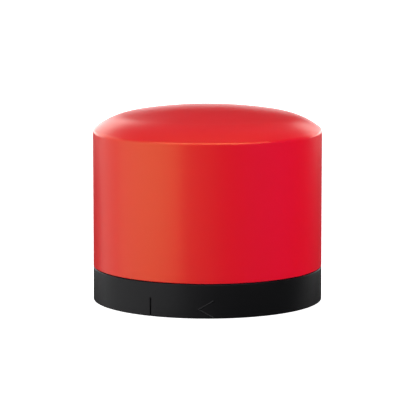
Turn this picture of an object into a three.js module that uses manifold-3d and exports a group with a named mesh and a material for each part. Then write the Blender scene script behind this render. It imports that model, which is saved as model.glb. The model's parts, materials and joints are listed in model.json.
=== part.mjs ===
// Light module for the top of a signal tower: a domed lens on a bayonet collar, with the LED core,
// the driver board and the sprung contacts that it needs to work.
//
// Millimetres, +Z up. The origin is the centre of the collar's bottom face, which is what the module
// stands on, and -Y is the front, where the turning marks are.

import * as THREE from "three";
import { mergeVertices } from "three/addons/utils/BufferGeometryUtils.js";
import Module from "manifold-3d";

const wasm = await Module();
wasm.setup();

// ---------------------------------------------------------------- driving dimensions

const OUTER_R = 35; // the collar and the lens share it
const ROUND = 48; // facets on a full-size circle, a multiple of 3 and of 4
const GAP = 0.3; // between pieces that meet inside a turned group
const FIT = 0.1; // between pieces that stand on each other

// Collar, from the bottom up.
const COLLAR_TOP = 10.3; // the ledge that the lens sits on
const COLLAR_BEVEL = 0.3;
const SOCKET_R = 32.6; // the lower mouth, which takes the module below
const THROUGH = 60; // height of a cutter that goes right through
const WEB_BOTTOM = 7.8;
const WEB_TOP = 9.4;
const SPIGOT_R = 29.8; // the neck that the lens turns on
const SPIGOT_WALL = 2;
const SPIGOT_TOP = 16;

// Turning marks, cut into the collar's front.
const MARK_DEPTH = 0.35;
const MARK_WIDTH = 0.5;
const LINE_MARK = { bearing: -29, height: 5.7 };
const CHEVRON_MARK = { bearing: -0.7, tipZ: 2.8, rise: 2.6, run: 4.4 };

// Bayonets. Angles are in degrees, counted anticlockwise from above.
const BAYONET_COUNT = 3;
const TURN = 20; // from released to locked, clockwise from above
const LUG_HALF = 8;
const LUG = { inner: 30.1, bottom: 11.8, top: 13.6 };
const HOOK = { outer: 31.4, roofBottom: 13.9, top: 15.7, endWidth: 3, clearance: 0.7 };
const SOCKET_LUG = { inner: 30.4, bottom: 1.6, top: 3.4, half: 9 };

// Lens: a straight wall, a small edge fillet, a corner arc and a nearly flat top arc, all tangent.
const LENS_WALL = 2.2;
const LENS_BOTTOM = COLLAR_TOP + 0.2;
const LENS_SHOULDER = 51.6;
const LENS_EDGE_R = 1.4;
const LENS_EDGE_SLOPE = 38; // degrees above level, where the edge fillet meets the corner arc
const LENS_TOP_R = 140;
const LENS_TOP_REACH = 25; // radius at which the top arc meets the corner arc
const REBATE = { radius: 33.6, top: 11.5 };

const LINER = { outer: 32.4, inner: 31.2, ribDepth: 0.6, ribs: 36, bottom: 16.6, top: 46.5 };
const LENS_SEAL = { inner: 31.7, outer: 33.3, bottom: 10.35, top: 11.3 };
const TOWER_SEAL = { inner: 28.8, outer: 32.3, bottom: 6.9, top: 7.7 };

// Contacts: a plunger stands on the carrier, and a spring above it pushes against the main board.
const CONTACTS = { count: 6, circle: 14, firstAngle: 30 };
const KEY_NOTCH = { width: 2.2, depth: 4 };
const CARRIER = { radius: 24.5, bottom: 5.2, top: 7.6, hole: 1.25, keyHole: 2.2 };
const PLUNGER = {
  shaft: 1, flange: 1.55, stem: 0.55, tip: 4.2, flangeBottom: 7.65, flangeTop: 8.25, top: 9.4,
};
const PLUNGER_WELL = 1.9;
const SPRING = { coil: 1.05, wire: 0.17, turns: 3, bottom: 8.3, top: 11.05 };

// Boards and the post that holds the LEDs.
const BOARD = { radius: 27.3, bottom: 11.1, top: 12.7, keyNotch: 3 };
const BOSS = { radius: 2.6, pilot: 1.05, pilotBottom: 8.3 };
const CARRIER_BOSS = { top: 10.8, pilotTop: 10.3 };
const HEAD_RECESS = { radius: 2.2, depth: 1.4 };
const CLEARANCE_HOLE = 1.2;
const BOARD_SCREWS = { circle: 22.5, firstAngle: 90 };
const CARRIER_SCREWS = { circle: 20, firstAngle: 30 };
const WIDE_HEAD = { headR: 1.9, headHeight: 1.1, shankR: 0.9 };
const SMALL_HEAD = { headR: 1.7, headHeight: 1, shankR: 0.85 };
const FOOT = { radius: 13, bottom: 12.8, top: 14.2, screwX: 10.6 };
const POST = { half: 5.5, top: 38, railInner: 5.4, railOuter: 8, pilot: 0.95, pilotDepth: 8 };
const LED_BOARD = { width: 10.4, thick: 1, bottom: 14.5, top: 37.6 };
const LED_ROWS = [18.6, 26.1, 33.6];
const TOP_BOARD = { radius: 10.5, bottom: 38.2, top: 39.2, ledCircle: 6.4, ledCount: 3 };

const MODE_SWITCH = { y: -19, width: 9.4, depth: 6.2, height: 4, pitch: 2.54, slot: 1.4, well: 3.6 };
const SLIDER = { width: 1, length: 1.4, proud: 0.7, travel: 1.6 };

// ---------------------------------------------------------------- finishes

const finish = (color, roughness, metalness = 0) =>
  new THREE.MeshStandardMaterial({ color, roughness, metalness });

const RED_LENS = finish(0xd61f2c, 0.25);
const BLACK_PLASTIC = finish(0x1d1d20, 0.5);
const CLEAR_LINER = finish(0xe8ecee, 0.2);
const BLACK_RUBBER = finish(0x161616, 0.85);
const GREY_CARRIER = finish(0x8b8f92, 0.6);
const GOLD_CONTACT = finish(0xc9a24a, 0.3, 1);
const SPRING_STEEL = finish(0xb9bcc0, 0.3, 1);
const ZINC_STEEL = finish(0xb4b6b8, 0.35, 1);
const GREEN_BOARD = finish(0x1d6b3c, 0.4);
const WHITE_BOARD = finish(0xe9e9e4, 0.45);
const WHITE_POST = finish(0xdddcd5, 0.6);
const LED_PACKAGE = finish(0xf2d9a8, 0.2);
const CHIP_BLACK = finish(0x222225, 0.55);
const CAPACITOR_SLEEVE = finish(0x20264a, 0.35);
const FERRITE = finish(0x3b3b3e, 0.7);
const VARISTOR_BLUE = finish(0x2a5bb0, 0.4);
const SWITCH_RED = finish(0xb0252a, 0.5);
const SLIDER_WHITE = finish(0xeeeeea, 0.5);

// ---------------------------------------------------------------- shape helpers

const rad = THREE.MathUtils.degToRad;
const polar = (radius, degrees) => [radius * Math.cos(rad(degrees)), radius * Math.sin(rad(degrees))];
const range = (count) => Array.from({ length: count }, (_, i) => i);

// A closed three.js geometry as a manifold-3d solid.
function solidOf(geometry) {
  const bare = geometry.index ? geometry.toNonIndexed() : geometry.clone();
  bare.deleteAttribute("normal");
  bare.deleteAttribute("uv");
  const merged = mergeVertices(bare, 1e-4);
  return new wasm.Manifold(
    new wasm.Mesh({
      numProp: 3,
      vertProperties: merged.attributes.position.array,
      triVerts: new Uint32Array(merged.index.array),
    }),
  );
}

// A manifold-3d solid as a three.js geometry with flat faces.
function geometryOf(solid) {
  const { vertProperties, triVerts } = solid.getMesh();
  const indexed = new THREE.BufferGeometry()
    .setAttribute("position", new THREE.BufferAttribute(new Float32Array(vertProperties), 3))
    .setIndex(new THREE.BufferAttribute(triVerts, 1));
  const flat = indexed.toNonIndexed();
  flat.computeVertexNormals();
  return flat;
}

const join = (...pieces) =>
  geometryOf(pieces.map(solidOf).reduce((whole, piece) => whole.add(piece)));

const cut = (whole, ...tools) =>
  geometryOf(tools.map(solidOf).reduce((rest, tool) => rest.subtract(tool), solidOf(whole)));

// Turns a profile of [radius, height] points about the Z axis. The profile runs from axis to axis,
// or is a loop, which this closes.
function revolve(profile, segments = ROUND) {
  const [first] = profile;
  const last = profile[profile.length - 1];
  const loop = first[0] === 0 && last[0] === 0 ? profile : [...profile, first];
  const area = loop.reduce((sum, [r, z], i) => {
    const [nextR, nextZ] = loop[(i + 1) % loop.length];
    return sum + r * nextZ - nextR * z;
  }, 0);
  const outward = area > 0 ? loop : [...loop].reverse();
  const points = outward.map(([r, z]) => new THREE.Vector2(r, z));
  return new THREE.LatheGeometry(points, segments).rotateX(Math.PI / 2);
}

// An upright cylinder at x, y, from bottom to top.
function cylinder(radius, bottom, top, [x, y] = [0, 0], segments = 20) {
  return new THREE.CylinderGeometry(radius, radius, top - bottom, segments)
    .rotateX(Math.PI / 2)
    .translate(x, y, (bottom + top) / 2);
}

// A box centred on x, y, from bottom to top.
function block(width, depth, bottom, top, [x, y] = [0, 0]) {
  return new THREE.BoxGeometry(width, depth, top - bottom).translate(x, y, (bottom + top) / 2);
}

// Part of an upright ring, between two angles in degrees.
function sector(inner, outer, bottom, top, from, to) {
  const shape = new THREE.Shape();
  shape.absarc(0, 0, outer, rad(from), rad(to), false);
  shape.absarc(0, 0, inner, rad(to), rad(from), true);
  shape.closePath();
  const curveSegments = Math.max(1, Math.ceil((to - from) / 6));
  return new THREE.ExtrudeGeometry(shape, { depth: top - bottom, bevelEnabled: false, curveSegments })
    .translate(0, 0, bottom);
}

// Points on an arc in the profile plane, between two angles in degrees, both included.
const arc = (centreR, centreZ, radius, from, to, steps) =>
  range(steps + 1).map((i) => {
    const angle = rad(from + ((to - from) * i) / steps);
    return [centreR + radius * Math.cos(angle), centreZ + radius * Math.sin(angle)];
  });

const spots = ({ circle, firstAngle }, count) =>
  range(count).map((i) => polar(circle, firstAngle + (360 * i) / count));

const bayonetAngles = range(BAYONET_COUNT).map((i) => 90 + (360 * i) / BAYONET_COUNT);
const boardScrewSpots = spots(BOARD_SCREWS, 3);
const carrierScrewSpots = spots(CARRIER_SCREWS, 3);
const footScrewSpots = [-FOOT.screwX, FOOT.screwX].map((x) => [x, 0]);
const upperScrewSpots = [...boardScrewSpots, ...footScrewSpots];
const contactSpots = spots(CONTACTS, CONTACTS.count);

// ---------------------------------------------------------------- collar

// A pan-head screw, head upwards with its seat at 0, and a cross recess in the head.
function screw({ headR, headHeight, shankR }, length) {
  const body = revolve(
    [[0, -length], [shankR * 0.5, -length], [shankR, -length + shankR], [shankR, 0], [headR, 0],
      [headR, headHeight * 0.6], [headR * 0.6, headHeight], [0, headHeight]],
    12,
  );
  const arm = [headR * 1.1, headR * 0.3];
  const recess = [arm, [...arm].reverse()].map(([w, d]) => block(w, d, headHeight * 0.45, headHeight + 1));
  return cut(body, ...recess);
}

// The collar's rings in section: outer wall, web and lens spigot.
function collarBody() {
  const inner = SPIGOT_R - SPIGOT_WALL;
  return revolve([
    [SOCKET_R, 0],
    [OUTER_R - COLLAR_BEVEL, 0],
    [OUTER_R, COLLAR_BEVEL],
    [OUTER_R, COLLAR_TOP - COLLAR_BEVEL],
    [OUTER_R - COLLAR_BEVEL, COLLAR_TOP],
    [SPIGOT_R, COLLAR_TOP],
    [SPIGOT_R, SPIGOT_TOP],
    [inner, SPIGOT_TOP],
    [inner, WEB_TOP],
    [0, WEB_TOP],
    [0, WEB_BOTTOM],
    [SOCKET_R, WEB_BOTTOM],
  ].reverse());
}

// One hook on the spigot: a roof over the locked lug, with a stop at each end of the lug's turn.
function lensHook(release) {
  const root = SPIGOT_R - 0.5;
  const lockedEdge = release - TURN - LUG_HALF - HOOK.clearance;
  const freeEdge = release + LUG_HALF + HOOK.clearance;
  return [
    sector(root, HOOK.outer, HOOK.roofBottom, HOOK.top, lockedEdge - 1, release - LUG_HALF - HOOK.clearance),
    sector(root, HOOK.outer, COLLAR_TOP - 0.5, HOOK.top, lockedEdge - HOOK.endWidth, lockedEdge),
    sector(root, HOOK.outer, COLLAR_TOP - 0.5, HOOK.top, freeEdge, freeEdge + HOOK.endWidth),
  ];
}

// Cutters for the turning marks. A bearing is counted from the front, positive towards +X.
function turningMarks() {
  const reach = 4;
  const middle = OUTER_R - MARK_DEPTH + reach / 2;
  const facing = (geometry, bearing) => geometry.translate(0, -middle, 0).rotateZ(rad(bearing));
  const line = facing(block(MARK_WIDTH, reach, -1, LINE_MARK.height), LINE_MARK.bearing);
  const { bearing, tipZ, rise, run } = CHEVRON_MARK;
  const armLength = Math.hypot(run, rise);
  const arms = [-1, 1].map((side) => {
    const bar = new THREE.BoxGeometry(armLength + MARK_WIDTH, reach, MARK_WIDTH)
      .translate(armLength / 2, 0, 0)
      .rotateY(side * Math.atan2(rise, run))
      .translate(-run / 2, 0, tipZ);
    return facing(bar, bearing);
  });
  return [line, ...arms];
}

function collar() {
  const bossTop = BOARD.bottom - FIT;
  const bosses = [
    ...upperScrewSpots.map((spot) => cylinder(BOSS.radius, WEB_BOTTOM + 1, bossTop, spot, 12)),
    ...carrierScrewSpots.map((spot) => cylinder(BOSS.radius, WEB_BOTTOM + 1, CARRIER_BOSS.top, spot, 12)),
  ];
  const socketLugs = bayonetAngles.map((angle) =>
    sector(SOCKET_LUG.inner, SOCKET_R + 0.5, SOCKET_LUG.bottom, SOCKET_LUG.top,
      angle - SOCKET_LUG.half, angle + SOCKET_LUG.half));
  const whole = join(collarBody(), ...bayonetAngles.flatMap(lensHook), ...socketLugs, ...bosses);
  const holes = [
    ...contactSpots.map((spot) => cylinder(PLUNGER_WELL, WEB_BOTTOM - 1, WEB_TOP + 1, spot, 12)),
    ...upperScrewSpots.map((spot) => cylinder(BOSS.pilot, BOSS.pilotBottom, THROUGH, spot, 8)),
    ...carrierScrewSpots.map((spot) => cylinder(BOSS.pilot, 0, CARRIER_BOSS.pilotTop, spot, 8)),
  ];
  return cut(whole, ...holes, ...turningMarks());
}

// ---------------------------------------------------------------- lens and seals

// The two large arcs of the lens's outer surface: the corner, which starts where the edge fillet
// ends, and the top, which is tangent to it and ends on the axis. Each centre is [radius, height].
function lensArcs() {
  const edgeSlope = rad(LENS_EDGE_SLOPE);
  const topSlope = Math.asin(LENS_TOP_REACH / LENS_TOP_R);
  const rimR = OUTER_R - LENS_EDGE_R + LENS_EDGE_R * Math.sin(edgeSlope);
  const rimZ = LENS_SHOULDER + LENS_EDGE_R * Math.cos(edgeSlope);
  const cornerR = (rimR - LENS_TOP_REACH) / (Math.sin(edgeSlope) - Math.sin(topSlope));
  const corner = [rimR - cornerR * Math.sin(edgeSlope), rimZ - cornerR * Math.cos(edgeSlope)];
  const topZ = corner[1] + (cornerR - LENS_TOP_R) * Math.cos(topSlope);
  return { corner, cornerR, topZ, meetAngle: 90 - THREE.MathUtils.radToDeg(topSlope) };
}

// The lens's outer surface in section, from its bottom edge to the axis.
function lensOutside() {
  const { corner, cornerR, topZ, meetAngle } = lensArcs();
  const edgeEnd = 90 - LENS_EDGE_SLOPE;
  return [
    [OUTER_R, LENS_BOTTOM],
    ...arc(OUTER_R - LENS_EDGE_R, LENS_SHOULDER, LENS_EDGE_R, 0, edgeEnd, 3),
    ...arc(...corner, cornerR, edgeEnd, meetAngle, 6).slice(1),
    ...arc(0, topZ, LENS_TOP_R, meetAngle, 90, 3).slice(1, -1),
    [0, topZ + LENS_TOP_R],
  ];
}

// The inner surface, a wall's thickness inside. The edge fillet is smaller than the wall, so here the
// corner arc runs straight down to the upright wall.
function lensInside() {
  const { corner, cornerR, topZ, meetAngle } = lensArcs();
  const wall = OUTER_R - LENS_WALL;
  const cornerStart = THREE.MathUtils.radToDeg(Math.acos((wall - corner[0]) / (cornerR - LENS_WALL)));
  return [
    [wall, REBATE.top],
    ...arc(...corner, cornerR - LENS_WALL, cornerStart, meetAngle, 3),
    ...arc(0, topZ, LENS_TOP_R - LENS_WALL, meetAngle, 90, 2).slice(1, -1),
    [0, topZ + LENS_TOP_R - LENS_WALL],
  ];
}

function lens() {
  const shell = revolve([
    ...lensInside().reverse(),
    [REBATE.radius, REBATE.top],
    [REBATE.radius, LENS_BOTTOM],
    ...lensOutside(),
  ]);
  const lugs = bayonetAngles.map((angle) =>
    sector(LUG.inner, OUTER_R - LENS_WALL + 0.6, LUG.bottom, LUG.top, angle - LUG_HALF, angle + LUG_HALF));
  return join(shell, ...lugs);
}

// A clear sleeve with upright prisms on its inside, which spreads the light sideways.
function liner() {
  const shape = new THREE.Shape();
  shape.absarc(0, 0, LINER.outer, 0, 2 * Math.PI, false);
  const prisms = new THREE.Path();
  range(LINER.ribs * 2).forEach((i) => {
    const radius = LINER.inner - (i % 2) * LINER.ribDepth;
    const [x, y] = polar(radius, (-180 * i) / LINER.ribs);
    if (i === 0) prisms.moveTo(x, y);
    else prisms.lineTo(x, y);
  });
  prisms.closePath();
  shape.holes.push(prisms);
  const depth = LINER.top - LINER.bottom;
  return new THREE.ExtrudeGeometry(shape, { depth, bevelEnabled: false, curveSegments: ROUND / 2 })
    .translate(0, 0, LINER.bottom);
}

const seal = ({ inner, outer, bottom, top }) =>
  revolve([[inner, bottom], [outer, bottom], [outer, top], [inner, top]]);

// ---------------------------------------------------------------- contacts

function carrier() {
  const recessTop = CARRIER.bottom + HEAD_RECESS.depth;
  const disc = revolve([
    [0, CARRIER.bottom], [CARRIER.radius - 0.6, CARRIER.bottom], [CARRIER.radius, CARRIER.bottom + 0.6],
    [CARRIER.radius, CARRIER.top], [0, CARRIER.top],
  ], 36);
  return cut(
    disc,
    cylinder(CARRIER.keyHole, 0, THROUGH, [0, 0], 16),
    block(KEY_NOTCH.width, KEY_NOTCH.depth, 0, THROUGH, [0, CARRIER.radius]),
    ...contactSpots.map((spot) => cylinder(CARRIER.hole, 0, THROUGH, spot, 10)),
    ...carrierScrewSpots.map((spot) => cylinder(CLEARANCE_HOLE, 0, THROUGH, spot, 8)),
    ...carrierScrewSpots.map((spot) => cylinder(HEAD_RECESS.radius, 0, recessTop, spot, 10)),
  );
}

const plunger = () => {
  const { tip, shaft, flange, flangeBottom, flangeTop, stem, top } = PLUNGER;
  return revolve([
    [0, tip], [shaft * 0.7, tip + 0.25], [shaft, tip + 0.9], [shaft, flangeBottom], [flange, flangeBottom],
    [flange, flangeTop], [stem, flangeTop], [stem, top], [0, top],
  ], 10);
};

class Coil extends THREE.Curve {
  getPoint(t, target = new THREE.Vector3()) {
    const { coil, wire, turns, bottom, top } = SPRING;
    const angle = 2 * Math.PI * turns * t;
    const height = bottom + wire + (top - bottom - 2 * wire) * t;
    return target.set(coil * Math.cos(angle), coil * Math.sin(angle), height);
  }
}

function contactSpring() {
  const wire = new THREE.Shape().absarc(0, 0, SPRING.wire, 0, 2 * Math.PI, false);
  const steps = SPRING.turns * 8;
  return new THREE.ExtrudeGeometry(wire, { extrudePath: new Coil(), steps, curveSegments: 3 });
}

// ---------------------------------------------------------------- boards and LED core

function mainBoard() {
  const disc = cylinder(BOARD.radius, BOARD.bottom, BOARD.top, [0, 0], 36);
  return cut(
    disc,
    block(BOARD.keyNotch, BOARD.keyNotch, 0, THROUGH, [-BOARD.radius, 0]),
    ...upperScrewSpots.map((spot) => cylinder(CLEARANCE_HOLE, 0, THROUGH, spot, 12)),
  );
}

function ledPost() {
  const side = 2 * POST.half;
  const railSize = POST.railOuter - POST.railInner;
  const railAt = (POST.railInner + POST.railOuter) / 2;
  const rails = [[1, 1], [1, -1], [-1, 1], [-1, -1]].map(([x, y]) =>
    block(railSize, railSize, FOOT.top - 0.5, POST.top, [x * railAt, y * railAt]));
  const whole = join(
    cylinder(FOOT.radius, FOOT.bottom, FOOT.top, [0, 0], 32),
    block(side, side, FOOT.top - 0.5, POST.top),
    ...rails,
  );
  return cut(
    whole,
    cylinder(POST.pilot, POST.top - POST.pilotDepth, THROUGH, [0, 0], 12),
    ...footScrewSpots.map((spot) => cylinder(CLEARANCE_HOLE, 0, THROUGH, spot, 12)),
  );
}

// A surface-mount LED standing on z = 0: a square package with a round lens.
function led() {
  const dome = revolve([[0, 0.5], [1.4, 0.5], [1.4, 0.9], [1.05, 1.5], [0, 1.75]], 10);
  return join(block(3.2, 3.2, 0, 0.8), dome);
}

const topBoard = () =>
  cut(
    cylinder(TOP_BOARD.radius, TOP_BOARD.bottom, TOP_BOARD.top, [0, 0], 32),
    cylinder(CLEARANCE_HOLE, 0, THROUGH, [0, 0], 12),
  );

// ---------------------------------------------------------------- driver electronics, standing on z = 0

const capacitor = () =>
  revolve([[0, 0], [3.6, 0], [4, 0.4], [4, 1], [3.75, 1.4], [4, 1.8], [4, 9], [3.6, 9.4], [0, 9.4]], 18);

const inductor = () =>
  revolve([[0, 0], [4.2, 0], [4.2, 1.1], [3.2, 1.2], [3.2, 3.7], [4.2, 3.8], [4.2, 4.9], [0, 4.9]], 18);

// A moulded package with rows of bent leads along both long sides.
function leadedPackage(width, depth, height, pins) {
  const leads = [-1, 1].flatMap((side) =>
    range(pins).map((i) => {
      const x = ((i + 0.5) / pins - 0.5) * width;
      return join(
        block(0.5, 1.2, height * 0.35, height * 0.5, [x, side * (depth / 2 + 0.3)]),
        block(0.5, 0.4, 0, height * 0.5, [x, side * (depth / 2 + 0.75)]),
      );
    }));
  return join(block(width, depth, 0.25, height), ...leads);
}

const varistor = () =>
  join(
    new THREE.CylinderGeometry(3.6, 3.6, 2.4, 20).translate(0, 0, 5),
    block(0.6, 0.6, 0, 3, [-2, 0]),
    block(0.6, 0.6, 0, 3, [2, 0]),
  );

const sliderXs = [-1, 0, 1].map((i) => i * MODE_SWITCH.pitch);

function modeSwitchBody() {
  const { width, depth, height, slot, well } = MODE_SWITCH;
  return cut(
    block(width, depth, 0, height),
    ...sliderXs.map((x) => block(slot, well, height - 1.6, height + 1, [x, 0])),
  );
}

const modeSlider = () =>
  block(SLIDER.width, SLIDER.length, MODE_SWITCH.height - 1.3, MODE_SWITCH.height + SLIDER.proud);

// ---------------------------------------------------------------- assembly

const module = new THREE.Group();

function add(parent, name, geometry, material, [x, y, z] = [0, 0, 0]) {
  const mesh = new THREE.Mesh(geometry, material);
  mesh.name = name;
  mesh.position.set(x, y, z);
  parent.add(mesh);
  return mesh;
}

function addHousing() {
  add(module, "base_collar", collar(), BLACK_PLASTIC);
  add(module, "contact_carrier", carrier(), GREY_CARRIER);
  add(module, "tower_seal", seal(TOWER_SEAL), BLACK_RUBBER);
  const carrierScrewSeat = CARRIER.bottom + HEAD_RECESS.depth - FIT;
  carrierScrewSpots.forEach(([x, y], i) => {
    const spot = [x, y, carrierScrewSeat];
    add(module, `carrier_screw_${i + 1}`, screw(WIDE_HEAD, 3.6), ZINC_STEEL, spot).rotation.x = Math.PI;
  });
  boardScrewSpots.forEach(([x, y], i) =>
    add(module, `board_screw_${i + 1}`, screw(WIDE_HEAD, 4), ZINC_STEEL, [x, y, BOARD.top + FIT]));
}

function addContacts() {
  contactSpots.forEach(([x, y], i) => {
    add(module, `contact_plunger_${i + 1}`, plunger(), GOLD_CONTACT, [x, y, 0]);
    add(module, `contact_spring_${i + 1}`, contactSpring(), SPRING_STEEL, [x, y, 0]);
  });
}

function addLedCore() {
  add(module, "led_post", ledPost(), WHITE_POST);
  footScrewSpots.forEach(([x, y], i) =>
    add(module, `post_screw_${i + 1}`, screw(SMALL_HEAD, 5.2), ZINC_STEEL, [x, y, FOOT.top + FIT]));
  const boardFace = POST.half + GAP / 2 + LED_BOARD.thick;
  range(4).forEach((side) => {
    const face = new THREE.Group();
    face.rotation.z = (side * Math.PI) / 2;
    module.add(face);
    const board = block(LED_BOARD.width, LED_BOARD.thick, LED_BOARD.bottom, LED_BOARD.top);
    add(face, `led_board_${side + 1}`, board, WHITE_BOARD, [0, LED_BOARD.thick / 2 - boardFace, 0]);
    LED_ROWS.forEach((height, row) => {
      const lamp = add(face, `led_${side + 1}_${row + 1}`, led(), LED_PACKAGE, [0, -boardFace - FIT, height]);
      lamp.rotation.x = Math.PI / 2;
    });
  });
  add(module, "top_board", topBoard(), WHITE_BOARD);
  add(module, "top_screw", screw(SMALL_HEAD, 6.5), ZINC_STEEL, [0, 0, TOP_BOARD.top + FIT]);
  spots({ circle: TOP_BOARD.ledCircle, firstAngle: -90 }, TOP_BOARD.ledCount).forEach(([x, y], i) =>
    add(module, `top_led_${i + 1}`, led(), LED_PACKAGE, [x, y, TOP_BOARD.top + FIT]));
}

function addElectronics() {
  const seat = BOARD.top + FIT;
  add(module, "main_board", mainBoard(), GREEN_BOARD);
  add(module, "smoothing_capacitor", capacitor(), CAPACITOR_SLEEVE, [-16, 10.5, seat]);
  add(module, "choke", inductor(), FERRITE, [16, 10.5, seat]);
  add(module, "bridge_rectifier", leadedPackage(7, 5, 2.6, 2), CHIP_BLACK, [-19, -1.5, seat]);
  add(module, "driver_chip", leadedPackage(6, 4, 1.8, 4), CHIP_BLACK, [19, -1.5, seat]);
  add(module, "surge_varistor", varistor(), VARISTOR_BLUE, [0, 17, seat]);
  add(module, "mode_switch_body", modeSwitchBody(), SWITCH_RED, [0, MODE_SWITCH.y, seat]);
  const sliderY = MODE_SWITCH.y - SLIDER.travel / 2;
  sliderXs.forEach((x, i) =>
    add(module, `mode_slider_${i + 1}`, modeSlider(), SLIDER_WHITE, [x, sliderY, seat]));
}

function addLens() {
  add(module, "lens_dome", lens(), RED_LENS);
  add(module, "lens_liner", liner(), CLEAR_LINER);
  add(module, "lens_seal", seal(LENS_SEAL), BLACK_RUBBER);
}

addHousing();
addContacts();
addElectronics();
addLedCore();
addLens();

export default module;
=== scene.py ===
"""Looks for the light module on top of a signal tower: the domed lens, its bayonet collar and the LED core.

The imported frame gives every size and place. Each piece here is modelled over the node that it stands
for, so it moves with that node's body. Lengths are in millimetres until a helper hands them to Blender.
"""

from __future__ import annotations

import json
import logging
import math
from contextlib import contextmanager
from dataclasses import dataclass, field
from enum import Enum
from typing import Any, Iterator, Sequence

import bpy
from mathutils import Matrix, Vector

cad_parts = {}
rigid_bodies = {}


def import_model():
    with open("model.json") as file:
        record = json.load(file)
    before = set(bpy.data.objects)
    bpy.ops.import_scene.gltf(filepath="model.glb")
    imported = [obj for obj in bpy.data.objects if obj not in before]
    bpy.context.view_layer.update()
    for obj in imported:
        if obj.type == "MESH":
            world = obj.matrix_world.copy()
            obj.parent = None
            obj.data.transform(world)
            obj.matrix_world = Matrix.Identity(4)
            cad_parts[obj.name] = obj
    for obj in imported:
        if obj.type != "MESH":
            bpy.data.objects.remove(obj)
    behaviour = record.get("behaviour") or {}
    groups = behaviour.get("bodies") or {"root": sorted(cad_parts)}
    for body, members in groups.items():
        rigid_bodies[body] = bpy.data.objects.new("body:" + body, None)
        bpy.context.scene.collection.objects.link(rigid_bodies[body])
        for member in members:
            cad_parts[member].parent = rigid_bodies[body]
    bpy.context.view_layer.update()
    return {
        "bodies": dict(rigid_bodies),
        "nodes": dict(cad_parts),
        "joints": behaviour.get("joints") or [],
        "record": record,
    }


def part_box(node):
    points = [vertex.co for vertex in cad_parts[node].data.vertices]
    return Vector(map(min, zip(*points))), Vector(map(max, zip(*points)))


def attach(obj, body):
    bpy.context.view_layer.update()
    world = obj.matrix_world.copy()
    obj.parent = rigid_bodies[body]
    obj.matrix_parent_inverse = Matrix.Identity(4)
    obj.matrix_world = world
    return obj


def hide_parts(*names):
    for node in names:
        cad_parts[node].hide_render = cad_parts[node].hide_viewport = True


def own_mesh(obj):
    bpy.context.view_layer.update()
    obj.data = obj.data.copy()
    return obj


LOG = logging.getLogger("signal_light")

MM = 0.001  # one millimetre in Blender's metres

Point = tuple[float, float]
Spot = tuple[float, float, float]
Colour = tuple[float, float, float, float]


class Join(Enum):
    """How one solid is combined with another."""

    CUT = "DIFFERENCE"
    FUSE = "UNION"


# ------------------------------------------------------------------ the frame


@dataclass(frozen=True)
class Place:
    """Where a node of the frame is, in millimetres."""

    low: Vector
    high: Vector

    @classmethod
    def of(cls, node: str) -> Place:
        """Reads a node's box from the frame.

        Args:
            node: The node's name.

        Returns:
            Its lowest and highest corners.
        """
        low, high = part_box(node)
        return cls(low / MM, high / MM)

    @property
    def centre(self) -> Vector:
        """The middle of the box."""
        return (self.low + self.high) / 2

    @property
    def size(self) -> Vector:
        """The box's width, depth and height."""
        return self.high - self.low

    @property
    def radius(self) -> float:
        """Half of the width in X, which is a round node's radius."""
        return self.size.x / 2

    @property
    def bottom(self) -> float:
        """The lowest height."""
        return self.low.z

    @property
    def top(self) -> float:
        """The highest height."""
        return self.high.z


@dataclass
class Register:
    """Which body and which material slot each node of the frame has."""

    body_of: dict[str, str]
    slot_of: dict[str, str]

    @classmethod
    def from_record(cls, record: dict[str, Any]) -> Register:
        """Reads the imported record.


        Returns:
            The register of its nodes.
        """
        bodies = record["behaviour"]["bodies"]
        body_of = {node: body for body, nodes in bodies.items() for node in nodes}
        slot_of = {row["node"]: row["material_slot"] for row in record["subparts"]}
        return cls(body_of, slot_of)

    def beside(self, piece: bpy.types.Object, node: str) -> None:
        """Makes a piece move with a node's body, without standing for the node.

        Args:
            piece: The finished piece.
            node: The node that it goes with.
        """
        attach(piece, self.body_of[node])
        LOG.info("%s rides on %s", piece.name, self.body_of[node])

    def instead(self, piece: bpy.types.Object, node: str) -> None:
        """Makes a piece stand for a node, on the node's own body.

        Args:
            piece: The finished piece.
            node: The node that it replaces.
        """
        self.beside(piece, node)
        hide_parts(node)


# ------------------------------------------------------------------ modelling


def take(*pieces: bpy.types.Object) -> None:
    """Selects these pieces alone and makes the first one active.

    Args:
        pieces: The pieces to work on.
    """
    for other in list(bpy.context.selected_objects):
        other.select_set(False)
    for piece in pieces:
        piece.select_set(True)
    if pieces:
        bpy.context.view_layer.objects.active = pieces[0]


@contextmanager
def editing(piece: bpy.types.Object) -> Iterator[None]:
    """Opens a piece in edit mode with all of it selected, and closes it again.

    Args:
        piece: The piece to edit.
    """
    take(piece)
    bpy.ops.object.mode_set(mode="EDIT")
    bpy.ops.mesh.select_all(action="SELECT")
    yield
    bpy.ops.object.mode_set(mode="OBJECT")


def new_piece(name: str) -> bpy.types.Object:
    """Gives the primitive that was just added its name, with its place moved into its mesh.

    Args:
        name: The piece's name.

    Returns:
        The piece.
    """
    piece = bpy.context.object
    piece.name = name
    piece.data.name = name
    bpy.ops.object.transform_apply(location=True, rotation=True, scale=True)
    return piece


def mend(piece: bpy.types.Object, fill: bool = False) -> bpy.types.Object:
    """Merges doubled points, fills open ends if asked, and turns every face outwards.

    Args:
        piece: The piece to mend.
        fill: Whether open ends are closed with a face.

    Returns:
        The same piece.
    """
    with editing(piece):
        bpy.ops.mesh.remove_doubles(threshold=0.002 * MM)
        if fill:
            bpy.ops.mesh.select_all(action="DESELECT")
            bpy.ops.mesh.select_non_manifold()
            bpy.ops.mesh.fill_holes(sides=0)
            bpy.ops.mesh.select_all(action="SELECT")
        bpy.ops.mesh.normals_make_consistent(inside=False)
    return piece


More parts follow.
